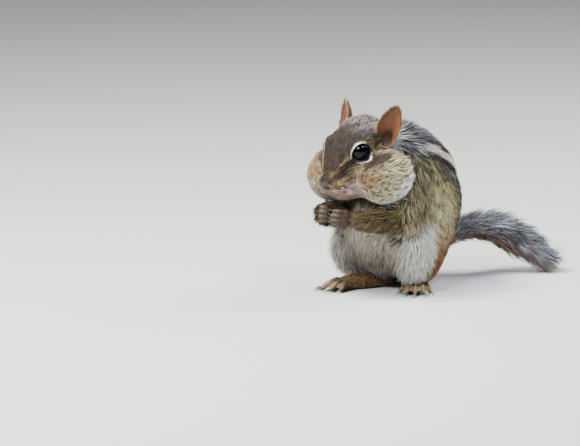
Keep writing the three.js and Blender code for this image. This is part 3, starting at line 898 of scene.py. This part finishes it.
def bodyMarks(p):
    x, y, z = p.T
    around, (turned, along) = turnRound(p), roundTrunk(p)
    wobble, fine = swirl(p, 9.0, 5), swirl(p, 2.4, 6)
    fleck = smooth(-0.6, 0.6, swirl(p, 2.2, 9))
    marks = Marks("back", 0.5 + 0.28 * fleck)
    marks.paint("backGrey", fade(0.45, 0.75, along) * fade(52, 66, turned))
    flank = smooth(64, 76, turned + 3 * wobble)
    marks.paint("flank", flank)
    level = smooth(50, 40, z) * smooth(26, 34, z)
    marks.paint("flankPale", flank * level * smooth(60, 90, around) * fade(90, 112, around), 0.4)
    marks.paint("shoulder", smooth(58, 70, turned) * smooth(28, 36, z) * smooth(84, 108, around), 0.9)
    marks.dark = mix(marks.dark, 0.16 + 0.24 * fleck, flank * fade(40, 56, z))
    marks.paint("rump", smooth(0.66, 0.86, along + 0.02 * wobble) * fade(100, 112, around), dark=0.22)
    nape = fade(0.05, 0.22, along) * smooth(22, 40, turned) * fade(60, 75, turned)
    marks.paint("nape", nape, 0.15)
    spot = np.linalg.norm(np.column_stack([np.abs(x + 1) - 7, y + 8.5, z - 71]), axis=1)
    marks.paint("cheekWhite", fade(1.0, 3.4, spot), 0.6, dark=0.1)
    # stripes: a dark one down the middle, and on each side a pale one between two dark ones
    start, end, half = stripes["start"], stripes["end"], stripes["half"]
    span = smooth(start - 0.05, start + 0.05, along + 0.02 * fine) * fade(end - 0.1, end, along)
    place = turned + 0.9 * fine + 11 * smooth(0.16, 0.42, along) + 7 * smooth(0.45, 0.85, along)

    def band(name, more=0.0):
        off = np.abs(place - stripes[name])
        return fade(half + more - 0.9, half + more + 1.1, off) * span

    middle = fade(2.6, 5.0, turned + 0.8 * fine) * smooth(0.18, 0.3, along) * fade(0.74, 0.84, along)
    marks.paint("stripePale", band("pale", 1.4), dark=0.05)
    marks.paint("stripeDark", np.maximum.reduce([band("dark"), band("low", 0.8), middle]), 0.96)
    # belly and the front of the thighs, with painted shade between the legs
    white = smooth(86, 98, around + 4 * wobble + 1.2 * (z - 30)) * smooth(9, 15, z)
    white = white * fade(28.5, 32.5, z + 0.8 * fine)
    white = np.maximum(white, smooth(104, 118, around + 3 * wobble) * fade(14, 20, z))
    marks.paint("belly", white, dark=0.04)
    marks.paint("thigh", white * smooth(34, 26, z) * fade(125, 150, around), 0.8)
    # painted shade: the white belly is darkened to grey-brown between the legs, more towards the bottom
    shade = (0.3 + 0.7 * smooth(31, 14, z)) * (0.8 + 0.2 * np.clip(fine, -1, 1))
    marks.paint("bellyShade", white * smooth(118, 150, around) * shade)
    marks.paint("belly", smooth(35, 40, z) * fade(4, 8, np.abs(x + 3)) * smooth(140, 155, around), 0.8)
    ankle = fade(6, 12, z + fine) * smooth(10, 16, np.abs(x + 1)) * fade(105, 125, around)
    marks.paint("foot", ankle, 0.85)
    return marks


def tailAlong(p):
    near = ((p[:, None, :] - tailLine[None, ::3, :]) ** 2).sum(2).argmin(1)
    return tailShare[::3][near]


def limbMarks(p, name):
    side, even = sideOf[name], np.ones(len(p))
    if name == "tail":
        marks = Marks("tailTop", 0.58 * even)
        marks.paint("tailUnder", smooth(0.5, -2.0, p[:, 2] - tailPoint(tailAlong(p))[:, 2]), 0.8)
    elif name.startswith("arm"):
        marks = Marks("arm", 0.4 * even)
        marks.paint("paw", smooth(-20, -38, p[:, 1]), 0.4)
    elif name.startswith("paw"):
        marks = Marks("paw", 0 * even, 0.5)
        # painted shade: dark lines in the gaps between the fingers
        fingerGapShade = 0.5 + 0.5 * np.sin(toPaw(p, side)[:, 2] * 2 * math.pi / finger["spacing"])
        marks.paint("dark", smooth(0.7, 1.0, fingerGapShade), 0.6)
    else:
        q = toFoot(p, side)
        toe = smooth(-19, -24, q[:, 1])
        marks = Marks("foot", 0.25 * even, toe * 0.6)
        marks.paint("toe", toe)
        # painted shade: darker between the toes, away from each toe's line
        rays = [distanceToPath(q, [toeAt(i, reach, 3.2) for reach in (0, 5, 11)]) for i in range(foot["toes"])]
        marks.paint("dark", smooth(-18, -21, q[:, 1]) * smooth(1.1, 1.9, np.min(rays, axis=0)), 0.85)
    return marks


# The body's coat hides the root of the tail.
def fieldsAt(p):
    fields = np.array([parts[name](p) for name in partNames])
    fields[partNames.index("tail")] += tail["hidden"]
    return fields


def marksAt(p, skinToo=False):
    fields = fieldsAt(p)
    nearest, trunk = fields.argmin(0), np.minimum(fields[0], fields[1])
    marks = bodyMarks(p)
    marks.cover(slice(None), headMarks(toHead(p), skinToo), smooth(1.6, -1.6, fields[1] - fields[0]))
    for index, name in enumerate(partNames[2:], start=2):
        mine = nearest == index
        if mine.any():
            share = 1.0 if name == "tail" else smooth(1.0, -1.0, fields[index][mine] - trunk[mine])
            marks.cover(mine, limbMarks(p[mine], name), share)
    return marks


def tangent(v, normal):
    return unit(v - (v * normal).sum(1, keepdims=True) * normal)


# Lie of the coat: its way and length at each place
def headWay(q):
    way = unit(q - np.array([0, -19, -6.0])) + np.array([0, 0.5, 0])
    way = way + smooth(-2, -10, q[:, 2])[:, None] * np.array([0, 0.5, -0.25])
    return way @ headTurn.T


def bodyWay(p):
    x, even = p[:, 0] + 1, np.ones(len(p))
    way = np.column_stack([0.1 * x / 20, 0.35 * even, -even])
    inward = np.column_stack([-0.25 * np.sign(x), -0.45 * even, 0 * even])
    way = way + smooth(95, 130, turnRound(p))[:, None] * inward
    return way + smooth(60, 74, p[:, 2])[:, None] * np.array([0, 1.0, 0.2])


def limbWay(p, name):
    side = sideOf[name]
    if name.startswith("arm"):
        return wrist(side) - np.array(elbow[side]) + np.array([0, 0, -11.0])
    if name.startswith("paw"):
        return np.array([0, -1, 0]) @ pawTurn[side].T
    if name.startswith("foot"):
        return np.array([0, -1, -0.1]) @ footTurn[side].T
    share = tailAlong(p)
    return tailPoint(np.minimum(share + 0.03, 1)) - tailPoint(share - 0.03) + 1e-6


def limbReach(p, name):
    side = sideOf[name]
    far = np.linalg.norm(p - np.array(wrist(side)), axis=1)
    if name.startswith("arm"):
        return 1.5 + 3.6 * smooth(1, 9, far)
    if name.startswith("paw"):
        return 1.2 - 0.7 * smooth(1, 6, far)
    if name.startswith("foot"):
        return 0.6 + 1.9 * smooth(-21, -8, toFoot(p, side)[:, 1])
    return 7.5 + 5.0 * smooth(0.05, 0.5, tailAlong(p))


def headReach(q):
    x, y, z = q.T
    reach = 1.1 + 2.1 * smooth(-16, 4, y) + 1.9 * smooth(-4, 8, y) * smooth(0, -8, z)
    reach = reach * (0.16 + 0.84 * smooth(5.6, 9, fromEyes(q)))
    chin = smooth(-9.0, -10.6, z) * fade(9.5, 14, np.abs(x)) * fade(-8, 0, y)
    return reach * (1 - 0.45 * chin)


def bodyReach(p):
    z, around = p[:, 2], turnRound(p)
    reach = 4.6 + 2.6 * smooth(100, 125, around) + 0.8 * smooth(60, 90, around) + 0.6 * smooth(48, 62, z)
    return reach * (0.5 + 0.5 * smooth(3, 12, z))


def lieOf(p, normal, part):
    onHead = part == 1
    way = np.where(onHead[:, None], headWay(toHead(p)), bodyWay(p))
    reach = np.where(onHead, headReach(toHead(p)), bodyReach(p))
    for index, name in enumerate(partNames[2:], start=2):
        mine = part == index
        if mine.any():
            way[mine], reach[mine] = limbWay(p[mine], name), limbReach(p[mine], name)
    lie = tangent(way, normal)
    stray = (0.18 * swirl(p, 6.0, 11) + 0.22 * swirl(p, 2.4, 12))[:, None]
    return tangent(lie + stray * np.cross(normal, lie), normal), reach


skinNormals = readArray(skinMesh.vertices, "normal", 3).astype(float)
skinPart = fieldsAt(skinPlaces).argmin(0)
skinLie, skinReach = lieOf(skinPlaces, skinNormals, skinPart)
# The colour of a tuft is the one where its middle lies, so that the markings stay in place.
coatMarks = marksAt(skinPlaces + skinLie * (0.5 * skinReach)[:, None])
skinMarks = marksAt(skinPlaces, skinToo=True)
print("markings laid")


def keepAttribute(mesh, name, values, kind="FLOAT"):
    if name in mesh.attributes:
        mesh.attributes.remove(mesh.attributes[name])
    made = mesh.attributes.new(name, kind, "POINT")
    slot = {"FLOAT": "value", "FLOAT_VECTOR": "vector", "FLOAT_COLOR": "color"}[kind]
    if kind == "FLOAT_COLOR":
        values = np.column_stack([values, np.ones(len(values))])
    made.data.foreach_set(slot, np.ascontiguousarray(values, np.float32).ravel())


def skinMaterial():
    material, tree, shader = newMaterial("skin")
    coat, bare, tick = attribute(tree, "coat", 0), attribute(tree, "bare"), attribute(tree, "tick")
    fine = noise(tree, objectPlace(tree), 900, 4)
    soft = noise(tree, objectPlace(tree), 220, 3)
    shade = (0.5 + 0.42 * bare + 0.25 * (fine - 0.5)).clamped()
    under = mixColor(tree, shade, (0.02, 0.016, 0.013, 1), coat)
    color = mixColor(tree, ((soft - 0.45) * tick * 1.4).clamped(), under, (0.015, 0.012, 0.010, 1))
    bump = bumped(tree, fine * 0.6 + soft * 0.4, 0.45, 0.0002)
    setSockets(tree, shader, {"Base Color": color, "Roughness": 0.85 - 0.35 * bare, "Normal": bump})
    return material


# Hair is darker at its root and lighter at its tip: partly its own colour, partly painted shade down in the coat. Dark
# hairs have a dark band, and clumps differ by "grain".
def coatMaterial(name, rootShade=0.2, tipShade=1.3, sheen=0.06, grain=0.9):
    material, tree, shader = newMaterial(name)
    coat = attribute(tree, "coat", 0)
    tick, reach, clump = (attribute(tree, label) for label in ("tick", "along", "clump"))
    chance, second = attribute(tree, "chance"), attribute(tree, "chanceTwo")
    calm = (tick * 5 + 0.35).clamped()
    level = rootShade + (tipShade - rootShade) * reach
    level = level * (1.0 + calm * ((0.2 - grain) + 0.5 * second + grain * clump))
    grey = add(tree, "ShaderNodeCombineColor", {}, {0: level, 1: level, 2: level})[0]
    dim = mixColor(tree, 1.0, coat, grey, "MULTIPLY")
    isDark = ((tick - 0.4 * chance - 0.6 * clump) * 9).clamped()
    banded = isDark * ((reach - 0.25) * 2.6).clamped()
    color = mixColor(tree, banded * 0.92, dim, (0.018, 0.014, 0.011, 1))
    setSockets(tree, shader, {"Base Color": color, "Roughness": 0.62, "Sheen Weight": sheen,
                              "Sheen Roughness": 0.4, "Specular IOR Level": 0.35})
    return material


keepAttribute(skinMesh, "coat", skinMarks.color, "FLOAT_COLOR")
keepAttribute(skinMesh, "tick", skinMarks.dark)
keepAttribute(skinMesh, "bare", skinMarks.bare)
addPiece("skin", skinMesh, "body_coat", skinMaterial(), fleshNodes)
unwrapSpec = {"layer": "rootPlace", "grid": 8, "gap": 0.05}


# A plain unwrap of a mesh's own shape: each part of the body in six charts, laid in a grid.
def unwrap(mesh, allPlaces, allParts):
    corners = readArray(mesh.loops, "vertex_index", kind=np.int32)
    faceNormals = readArray(mesh.polygons, "normal", 3)
    sizes = readArray(mesh.polygons, "loop_total", kind=np.int32)
    starts = readArray(mesh.polygons, "loop_start", kind=np.int32)
    faceOf = np.repeat(np.arange(len(sizes)), sizes)
    axis = np.abs(faceNormals).argmax(1)
    front = faceNormals[np.arange(len(axis)), axis] > 0
    chart = (allParts[corners[starts]] * 6 + axis * 2 + front)[faceOf]
    places, every = allPlaces[corners], np.arange(len(corners))
    sides = [places[every, np.array(pick)[axis][faceOf]] for pick in ([1, 0, 0], [2, 2, 1])]
    uv = np.zeros((len(corners), 2))
    grid, gap = unwrapSpec["grid"], unwrapSpec["gap"]
    for number in np.unique(chart):
        mine = chart == number
        span = max(np.ptp(sides[0][mine]), np.ptp(sides[1][mine]), 1)
        for k, cell in enumerate((number % grid, number % grid**2 // grid)):
            uv[mine, k] = (cell + gap + (1 - 2 * gap) * (sides[k][mine] - sides[k][mine].min()) / span) / grid
    mesh.uv_layers.new(name=unwrapSpec["layer"]).data.foreach_set("uv", uv.astype(np.float32).ravel())


# Coat: tufts spread over the skin by Geometry Nodes
tuftInputs = {"Width": 0.049, "Flatness": 0.5, "Bend": 0.16, "Lift": 0.32, "Stray": 0.25, "Patch": 0.003,
              "Clumps": 700.0}


def coatTree(name, levels):
    tree = bpy.data.node_groups.new(name, "GeometryNodeTree")
    face = tree.interface
    face.new_socket("Skin", in_out="INPUT", socket_type="NodeSocketGeometry")
    for label, value in tuftInputs.items():
        face.new_socket(label, in_out="INPUT", socket_type="NodeSocketFloat").default_value = value
    face.new_socket("Seed", in_out="INPUT", socket_type="NodeSocketInt")
    face.new_socket("Finish", in_out="INPUT", socket_type="NodeSocketMaterial")
    face.new_socket("Coat", in_out="OUTPUT", socket_type="NodeSocketGeometry")
    inputs = {out.socket.name: out for out in add(tree, "NodeGroupInput", {}, {})}

    def named(label, kind="FLOAT"):
        return add(tree, "GeometryNodeInputNamedAttribute", {"data_type": kind}, {"Name": label})[0]

    def vector(operation, first, second):
        return add(tree, "ShaderNodeVectorMath", {"operation": operation}, {0: first, 1: second})[0]

    def scaled(v, amount):
        return add(tree, "ShaderNodeVectorMath", {"operation": "SCALE"}, {0: v, "Scale": amount})[0]

    def chance(low, high, seed):
        return add(tree, "FunctionNodeRandomValue", {"data_type": "FLOAT"}, {2: low, 3: high, "Seed": seed})[1]

    def keep(geometry, label, value, domain="POINT", kind="FLOAT"):
        return add(tree, "GeometryNodeStoreNamedAttribute", {"data_type": kind, "domain": domain},
                   {"Geometry": geometry, "Name": label, "Value": value})[0]

    points, normal = add(tree, "GeometryNodeDistributePointsOnFaces", {},
                         {"Mesh": inputs["Skin"], "Density": named("amount"), "Seed": inputs["Seed"]})[:2]
    # one tuft: a closed cone of three sides along +Z, filled out at its waist and bent down towards the skin
    tuft = add(tree, "GeometryNodeMeshCone", {"fill_type": "NGON"},
               {"Vertices": 3, "Side Segments": levels, "Radius Top": 0.0, "Radius Bottom": 1.0, "Depth": 1.0})[0]
    place = add(tree, "GeometryNodeInputPosition", {}, {})[0]
    px, py, pz = add(tree, "ShaderNodeSeparateXYZ", {}, {0: place})
    fuller = 1.0 + 0.75 * pz
    shaped = add(tree, "ShaderNodeCombineXYZ", {}, {
        0: px * inputs["Width"] * fuller,
        1: py * inputs["Width"] * inputs["Flatness"] * fuller - inputs["Bend"] * pz * pz,
        2: pz,
    })[0]
    tuft = keep(tuft, "along", pz)
    tuft = add(tree, "GeometryNodeSetPosition", {}, {"Geometry": tuft, "Position": shaped})[0]
    lie = named("lie", "FLOAT_VECTOR")
    sideways = vector("CROSS_PRODUCT", normal, lie)
    turned = vector("ADD", lie, scaled(sideways, chance(-1.0, 1.0, 1) * inputs["Stray"]))
    raised = vector("ADD", turned, scaled(normal, inputs["Lift"] * chance(0.5, 1.5, 2)))
    turn = add(tree, "FunctionNodeAxesToRotation", {"primary_axis": "Z", "secondary_axis": "Y"},
               {0: raised, 1: normal})[0]
    size = named("reach") * chance(0.72, 1.22, 3)
    placed = add(tree, "GeometryNodeInstanceOnPoints", {},
                 {"Points": points, "Instance": tuft, "Rotation": turn, "Scale": size})[0]
    placed = keep(placed, "chance", chance(0.0, 1.0, 4), "INSTANCE")
    placed = keep(placed, "chanceTwo", chance(0.0, 1.0, 5), "INSTANCE")
    clump = noise(tree, place, inputs["Clumps"], 1)
    placed = keep(placed, "clump", ((clump - 0.5) * 3.4 + 0.5).clamped(), "INSTANCE")
    whole = add(tree, "GeometryNodeRealizeInstances", {}, {"Geometry": placed})[0]
    corner = add(tree, "ShaderNodeCombineXYZ", {}, {0: named("chanceTwo") - 0.5, 1: named("along") - 0.5})[0]
    spot = vector("ADD", named(unwrapSpec["layer"], "FLOAT_VECTOR"), scaled(corner, inputs["Patch"]))
    whole = keep(whole, "OFBake", spot, "CORNER", "FLOAT2")
    whole = add(tree, "GeometryNodeSetMaterial", {}, {"Geometry": whole, "Material": inputs["Finish"]})[0]
    add(tree, "NodeGroupOutput", {}, {0: whole})
    return tree


# The share of a mesh's surface in square metres that each of its points stands for.
def areaRound(mesh):
    areas = readArray(mesh.polygons, "area")
    corners = readArray(mesh.loops, "vertex_index", kind=np.int32)
    sizes = readArray(mesh.polygons, "loop_total", kind=np.int32)
    return np.bincount(corners, np.repeat(areas / sizes, sizes), len(mesh.vertices))


tuftTrees = {2: coatTree("shortTufts", 2), 3: coatTree("longTufts", 3)}
skinGround = {"mesh": skinMesh, "places": skinPlaces, "bare": skinMarks.bare, "lie": skinLie,
              "reach": skinReach, "area": areaRound(skinMesh), "color": coatMarks.color, "dark": coatMarks.dark}
coatSpec = {"quickShare": 0.35, "fewest": 10, "floorLow": 0.4, "floorHigh": 1.6, "lowest": 0.00015}
cleared = ["lie", "reach", "amount", unwrapSpec["layer"], "bare"]


def growCoat(name, slot, share, tufts, finish, seed, levels=2, ground=skinGround, **changes):
    count = max(int(tufts * (1.0)), coatSpec["fewest"])
    aboveFloor = smooth(coatSpec["floorLow"], coatSpec["floorHigh"], ground["places"][:, 2])
    density = share * (1 - ground["bare"]) * aboveFloor / ground["reach"] ** 2
    density = density * count / max((density * ground["area"]).sum(), 1e-12)
    mesh = ground["mesh"].copy()
    keepAttribute(mesh, "amount", density)
    keepAttribute(mesh, "lie", ground["lie"], "FLOAT_VECTOR")
    keepAttribute(mesh, "reach", ground["reach"] * mm)
    keepAttribute(mesh, "coat", ground["color"], "FLOAT_COLOR")
    keepAttribute(mesh, "tick", ground["dark"])
    holder = bpy.data.objects.new(name, mesh)
    bpy.context.scene.collection.objects.link(holder)
    modifier = holder.modifiers.new("coat", "NODES")
    modifier.node_group = tuftTrees[levels]
    values = {**tuftInputs, **changes, "Seed": seed, "Finish": finish}
    for item in modifier.node_group.interface.items_tree:
        if item.item_type == "SOCKET" and item.in_out == "INPUT" and item.name in values:
            modifier[item.identifier] = values[item.name]
    made = bpy.data.meshes.new_from_object(holder.evaluated_get(bpy.context.evaluated_depsgraph_get()))
    bpy.data.objects.remove(holder)
    bpy.data.meshes.remove(mesh)
    for label in cleared:
        if label in made.attributes:
            made.attributes.remove(made.attributes[label])
    spots = readArray(made.vertices, "co", 3)
    spots[:, 2] = np.maximum(spots[:, 2], coatSpec["lowest"])
    made.vertices.foreach_set("co", spots.ravel())
    print("  ", name, len(made.loops) - 2 * len(made.polygons), "triangles")
    return addPiece(name, made, slot)


unwrap(skinMesh, skinPlaces, skinPart)
coatPlain = coatMaterial("coat")
coatCrown = coatMaterial("coatCrown", 0.1, 1.9, grain=1.25)
coatBack = coatMaterial("coatBack", 0.14, 1.6, grain=1.2)
coatTail = coatMaterial("coatTail", 0.2, 1.6, 0.1)
isPart = {name: (skinPart == index).astype(float) for index, name in enumerate(partNames)}
onLeft, headLow = toHead(skinPlaces)[:, 0] > 0, toHead(skinPlaces)[:, 2] < -3.5
fullTurn = np.degrees(np.arctan2(skinPlaces[:, 0] + 1, skinPlaces[:, 1])) % 360
bodyCuts = {"back_left": (0, 75), "flank_left": (75, 118), "belly": (118, 242), "flank_right": (242, 285),
            "back_right": (285, 360)}
# fingers and toes keep almost bare skin between them
paws = np.max([isPart[name] * smooth(-6.5, -2.5, toPaw(skinPlaces, sideOf[name])[:, 1])
               for name in ("pawLeft", "pawRight")], axis=0)
feet = (isPart["footLeft"] + isPart["footRight"]) * np.max(
    bothSides(lambda side: smooth(-27, -20, toFoot(skinPlaces, side)[:, 1])), axis=0)
onRoot = tailAlong(skinPlaces) < 0.42

growCoat("coat_crown", "head_coat", isPart["head"] * ~headLow, 17000, coatCrown, 1,
         Width=0.07, Lift=0.3, Clumps=850.0)
growCoat("coat_cheek_left", "head_coat", isPart["head"] * (headLow & onLeft), 16000, coatPlain, 2,
         Width=0.067, Clumps=800.0)
growCoat("coat_cheek_right", "head_coat", isPart["head"] * (headLow & ~onLeft), 13000, coatPlain, 3,
         Width=0.072, Clumps=800.0)
for number, (cut, (start, end)) in enumerate(bodyCuts.items()):
    finish, lift = (coatBack, 0.42) if "back" in cut else (coatPlain, 0.32)
    chosen = isPart["body"] * ((fullTurn >= start) & (fullTurn < end))
    growCoat(f"coat_{cut}", "body_coat", chosen, 12000, finish, 10 + number, Lift=lift)
growCoat("coat_arms", "body_coat", isPart["armLeft"] + isPart["armRight"], 8500, coatPlain, 20, Width=0.05, Lift=0.42)
growCoat("coat_paws", "paw_coat", paws, 2000, coatPlain, 21, Width=0.09, Lift=0.15)
growCoat("coat_feet", "foot_coat", feet, 6000, coatPlain, 22, Width=0.08, Lift=0.18)
tailLook = {"levels": 3, "Width": 0.022, "Lift": 0.5, "Bend": 0.22}
tailRoot = growCoat("coat_tail_root", "tail_coat", isPart["tail"] * onRoot, 5500, coatTail, 30, **tailLook)
growCoat("coat_tail_tip", "tail_coat", isPart["tail"] * ~onRoot, 7000, coatTail, 31, **tailLook)
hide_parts(*tailNodes)
skinMesh.uv_layers.remove(skinMesh.uv_layers[unwrapSpec["layer"]])
print("coat grown")

# Eyes
eyeball = {"slack": 0.05, "segments": 48, "rings": 32}
eyeFinish = speckled("eye", 300, 2, (0.0005, 0.0005, 0.0006), (0.0016, 0.0011, 0.001), 0.02, 0.02, 0.17)
for side, label in ((1, "left"), (-1, "right")):
    work = bmesh.new()
    bmesh.ops.create_uvsphere(work, u_segments=eyeball["segments"], v_segments=eyeball["rings"],
                              radius=(eye["radius"] - eyeball["slack"]) * mm)
    bmesh.ops.translate(work, verts=work.verts, vec=toScene(fromHead(eyeCentre(side))))
    name = f"eyeball_{label}"
    addPiece(name, meshFrom(work, name), "eye", eyeFinish, [f"eye_{label}"])

# Ears
ear = {"halfHeight": 10.1, "halfWidth": 5.5, "halfThickness": 0.5, "cup": 3.4, "fold": 1.8, "rings": 51,
       "around": 56, "middle": (15.0, 17.0, 3.7), "tall": (0.30, 0.16, 0.94), "open": (0.34, -0.93, 0.1),
       # the near black tone of the ear's hole is painted shade
       "outside": "5e4a32", "inside": "6a452a", "shadedCanal": "0c0504", "edge": "c8b290", "dark": 0.2}


def earFrame(side):
    tall = unit(np.array(ear["tall"]) @ headTurn)
    facing = np.array(ear["open"]) @ headTurn
    facing = unit(facing - tall * (facing @ tall))
    tall, facing = mirrored(tall, side), mirrored(facing, side)
    return tall, facing, np.cross(tall, facing) * side, mirrored(ear["middle"], side)


# Across runs from -1 at the edge by the face to 1 at the outer edge, and height from -1 at the root to 1 at the tip.
def earPoint(side, across, height, front):
    tall, facing, wide, middle = earFrame(side)
    cup = ear["cup"] * (1 - across**2 - 0.6 * height**2)
    cup = cup + 1.6 * np.exp(-(((height + 0.5) / 0.35) ** 2) - (across / 0.5) ** 2)
    fold = ear["fold"] * smooth(0.4, 1.0, np.abs(across)) * smooth(0.25, -0.6, height)
    width = ear["halfWidth"] * (1 - 0.14 * height - 0.12 * height**2)
    return (middle + wide * (across * width)[:, None] + tall * (height * ear["halfHeight"])[:, None]
            + facing * (front * ear["halfThickness"] - cup + fold)[:, None])


# One ear as rings from its back to its front, and the ground that its down grows on
def earMesh(side, name):
    around, count = ear["around"], ear["rings"]
    shares = np.sin(np.linspace(-math.pi / 2, math.pi / 2, count + 2)[1:-1])
    radii = np.sqrt(1 - shares**2)
    angles = np.linspace(0, 2 * math.pi, around, endpoint=False)
    front = np.concatenate([np.repeat(shares, around), [1.0, -1.0]])
    reach = np.concatenate([np.repeat(radii, around), [0.0, 0.0]])
    turns = [np.concatenate([np.outer(radii, way(angles)).ravel(), [0.0, 0.0]]) for way in (np.cos, np.sin)]
    places = earPoint(side, *turns, front)
    top, bottom, start = count * around, count * around + 1, (count - 1) * around
    faces = ringFaces(0, count, around)
    for k in range(around):
        faces.append((start + k, start + (k + 1) % around, top))
        faces.append((k, bottom, (k + 1) % around))
    mesh = meshOf(toScene(fromHead(places)), faces, name)
    work = bmesh.new()
    work.from_mesh(mesh)
    bmesh.ops.recalc_face_normals(work, faces=work.faces)
    work.to_mesh(mesh)
    work.free()
    tall, _, wide, middle = earFrame(side)
    height = (places - middle) @ tall / ear["halfHeight"]
    across = (places - middle) @ wide / ear["halfWidth"]
    inside, edge = smooth(0.0, 0.25, front), smooth(0.7, 0.98, reach)
    # painted shade: the ear's hole low in the cup is painted near black, and its down is left off there
    shadedCanal = np.exp(-(((height + 0.58) / 0.3) ** 2) - ((across + 0.05) / 0.42) ** 2) * inside
    color = np.tile(hexColor(ear["outside"]), (len(places), 1))
    color = mix(color, hexColor(ear["inside"]), inside)
    color = mix(color, hexColor(ear["shadedCanal"]), np.clip(shadedCanal * 2.2, 0, 1))
    color = mix(color, hexColor(ear["edge"]), smooth(0.95, 0.998, reach) * 0.8)
    dark = np.full(len(places), ear["dark"])
    keepAttribute(mesh, "coat", color, "FLOAT_COLOR")
    keepAttribute(mesh, "tick", dark)
    wayUp = (tall + 0.5 * wide * across[:, None]) @ headTurn.T
    return mesh, {
        "mesh": mesh, "places": places + [0, 0, 60], "bare": np.clip(shadedCanal * 1.5, 0, 1), "color": color, "dark": dark,
        "lie": tangent(wayUp, readArray(mesh.vertices, "normal", 3).astype(float)),
        "reach": 0.9 + 0.9 * edge + 1.2 * smooth(-0.4, -0.9, height) * (1 - inside), "area": areaRound(mesh),
        "share": 0.5 * (1 - inside) + 0.25 * inside + 3.0 * edge,
    }


def earMaterial():
    material, tree, shader = newMaterial("earSkin")
    fine = noise(tree, objectPlace(tree), 1400, 3)
    veins = noise(tree, objectPlace(tree), 320, 4)
    color = mixColor(tree, (veins * 0.45).clamped(), attribute(tree, "coat", 0), (0.16, 0.055, 0.03, 1))
    setSockets(tree, shader, {"Base Color": color, "Roughness": 0.55 + 0.2 * fine, "Specular IOR Level": 0.2,
                              "Normal": bumped(tree, fine, 0.3, 0.00015), "Subsurface Weight": 0.15,
                              "Subsurface Radius": (0.0015, 0.0006, 0.0003)})
    return material


earFinish = earMaterial()
earDown = coatMaterial("earDown", 0.7, 1.5)
for side, label in ((1, "left"), (-1, "right")):
    mesh, ground = earMesh(side, f"ear_{label}_skin")
    addPiece(f"ear_{label}_skin", mesh, "ear", earFinish, [f"ear_{label}"])
    unwrap(mesh, ground["places"], np.zeros(len(ground["places"]), int))
    growCoat(f"down_ear_{label}", "head_coat", ground["share"], 1800, earDown, 40 + side, ground=ground,
             Width=0.055, Lift=0.35, Bend=0.05)
    mesh.uv_layers.remove(mesh.uv_layers[unwrapSpec["layer"]])
print("eyes and ears made")


# Claws and whiskers: thin tubes joined in one mesh each
tubeRings = 9


def tubesMesh(name, tubes, sides, place=np.asarray):
    vertices, faces = [], []
    for points, radii in tubes:
        v, f = tubeParts(smoothPath(points, tubeRings), radii, sides)
        first = len(vertices)
        vertices.extend(toScene(place(v)))
        faces.extend(tuple(k + first for k in one) for one in f)
    return meshOf(vertices, faces, name)


claw = {"fore": 1.9, "hind": 2.6, "foreRadii": [0.437, 0.345, 0.06], "hindRadii": [0.575, 0.414, 0.06], "sides": 10}


def clawTubes():
    tubes, fore, hind = [], claw["fore"], claw["hind"]
    for side in (1, -1):
        for i in range(finger["count"]):
            root = np.array(fingerPath(side, i)[-1]) + np.array([-side * 0.5, 0.5, -0.15])
            path = [root, root + [-side * 0.55, fore / 2, -0.3], root + [-side * 0.5, fore + 0.3, -0.8]]
            tubes.append((fromPaw(path, side), spread(claw["foreRadii"], tubeRings)))
        for i in range(foot["toes"]):
            root = toeLength(i) + 0.3
            path = [toeAt(i, root, 1.25), toeAt(i, root + hind * 0.6, 1.35), toeAt(i, root + hind + 0.9, 0.25)]
            tubes.append((fromFoot(path, side), spread(claw["hindRadii"], tubeRings)))
    return tubes


whisker = {"count": 9, "long": 20, "radius": 0.07, "tip": 0.012, "sides": 5, "seed": 21}


def whiskerTubes():
    tubes, local = [], np.random.default_rng(whisker["seed"])
    for side in (1, -1):
        for i in range(whisker["count"]):
            row, column = i % 3, i // 3
            root = np.array([side * (4.9 + 0.35 * column), -15.2 + 1.3 * column, -6.4 - 1.1 * row])
            way = unit([side * (0.85 + 0.1 * local.normal()), -0.05 + 0.25 * column + 0.1 * local.normal(),
                        0.32 - 0.36 * row + 0.12 * local.normal()])
            long = whisker["long"] * (0.6 + 0.14 * column + 0.15 * local.random())
            droop = np.array([0, 0.22, -0.12]) * long
            path = [root, root + way * long * 0.5 + droop * 0.22, root + way * long + droop]
            tubes.append((path, np.linspace(whisker["radius"], whisker["tip"], tubeRings)))
    return tubes


horn = speckled("horn", 700, 3, (0.05, 0.036, 0.026), (0.22, 0.17, 0.125), 0.35, 0.15)
clawNodes = [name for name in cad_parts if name.startswith("claw")]
addPiece("claws", tubesMesh("claws", clawTubes(), claw["sides"]), "claw", horn, clawNodes)
hair = speckled("whisker", 260, 2, (0.05, 0.04, 0.035), (0.50, 0.47, 0.43), 0.4)
addPiece("whiskers", tubesMesh("whiskers", whiskerTubes(), whisker["sides"], fromHead), "head_coat", hair)
print("claws and whiskers made")
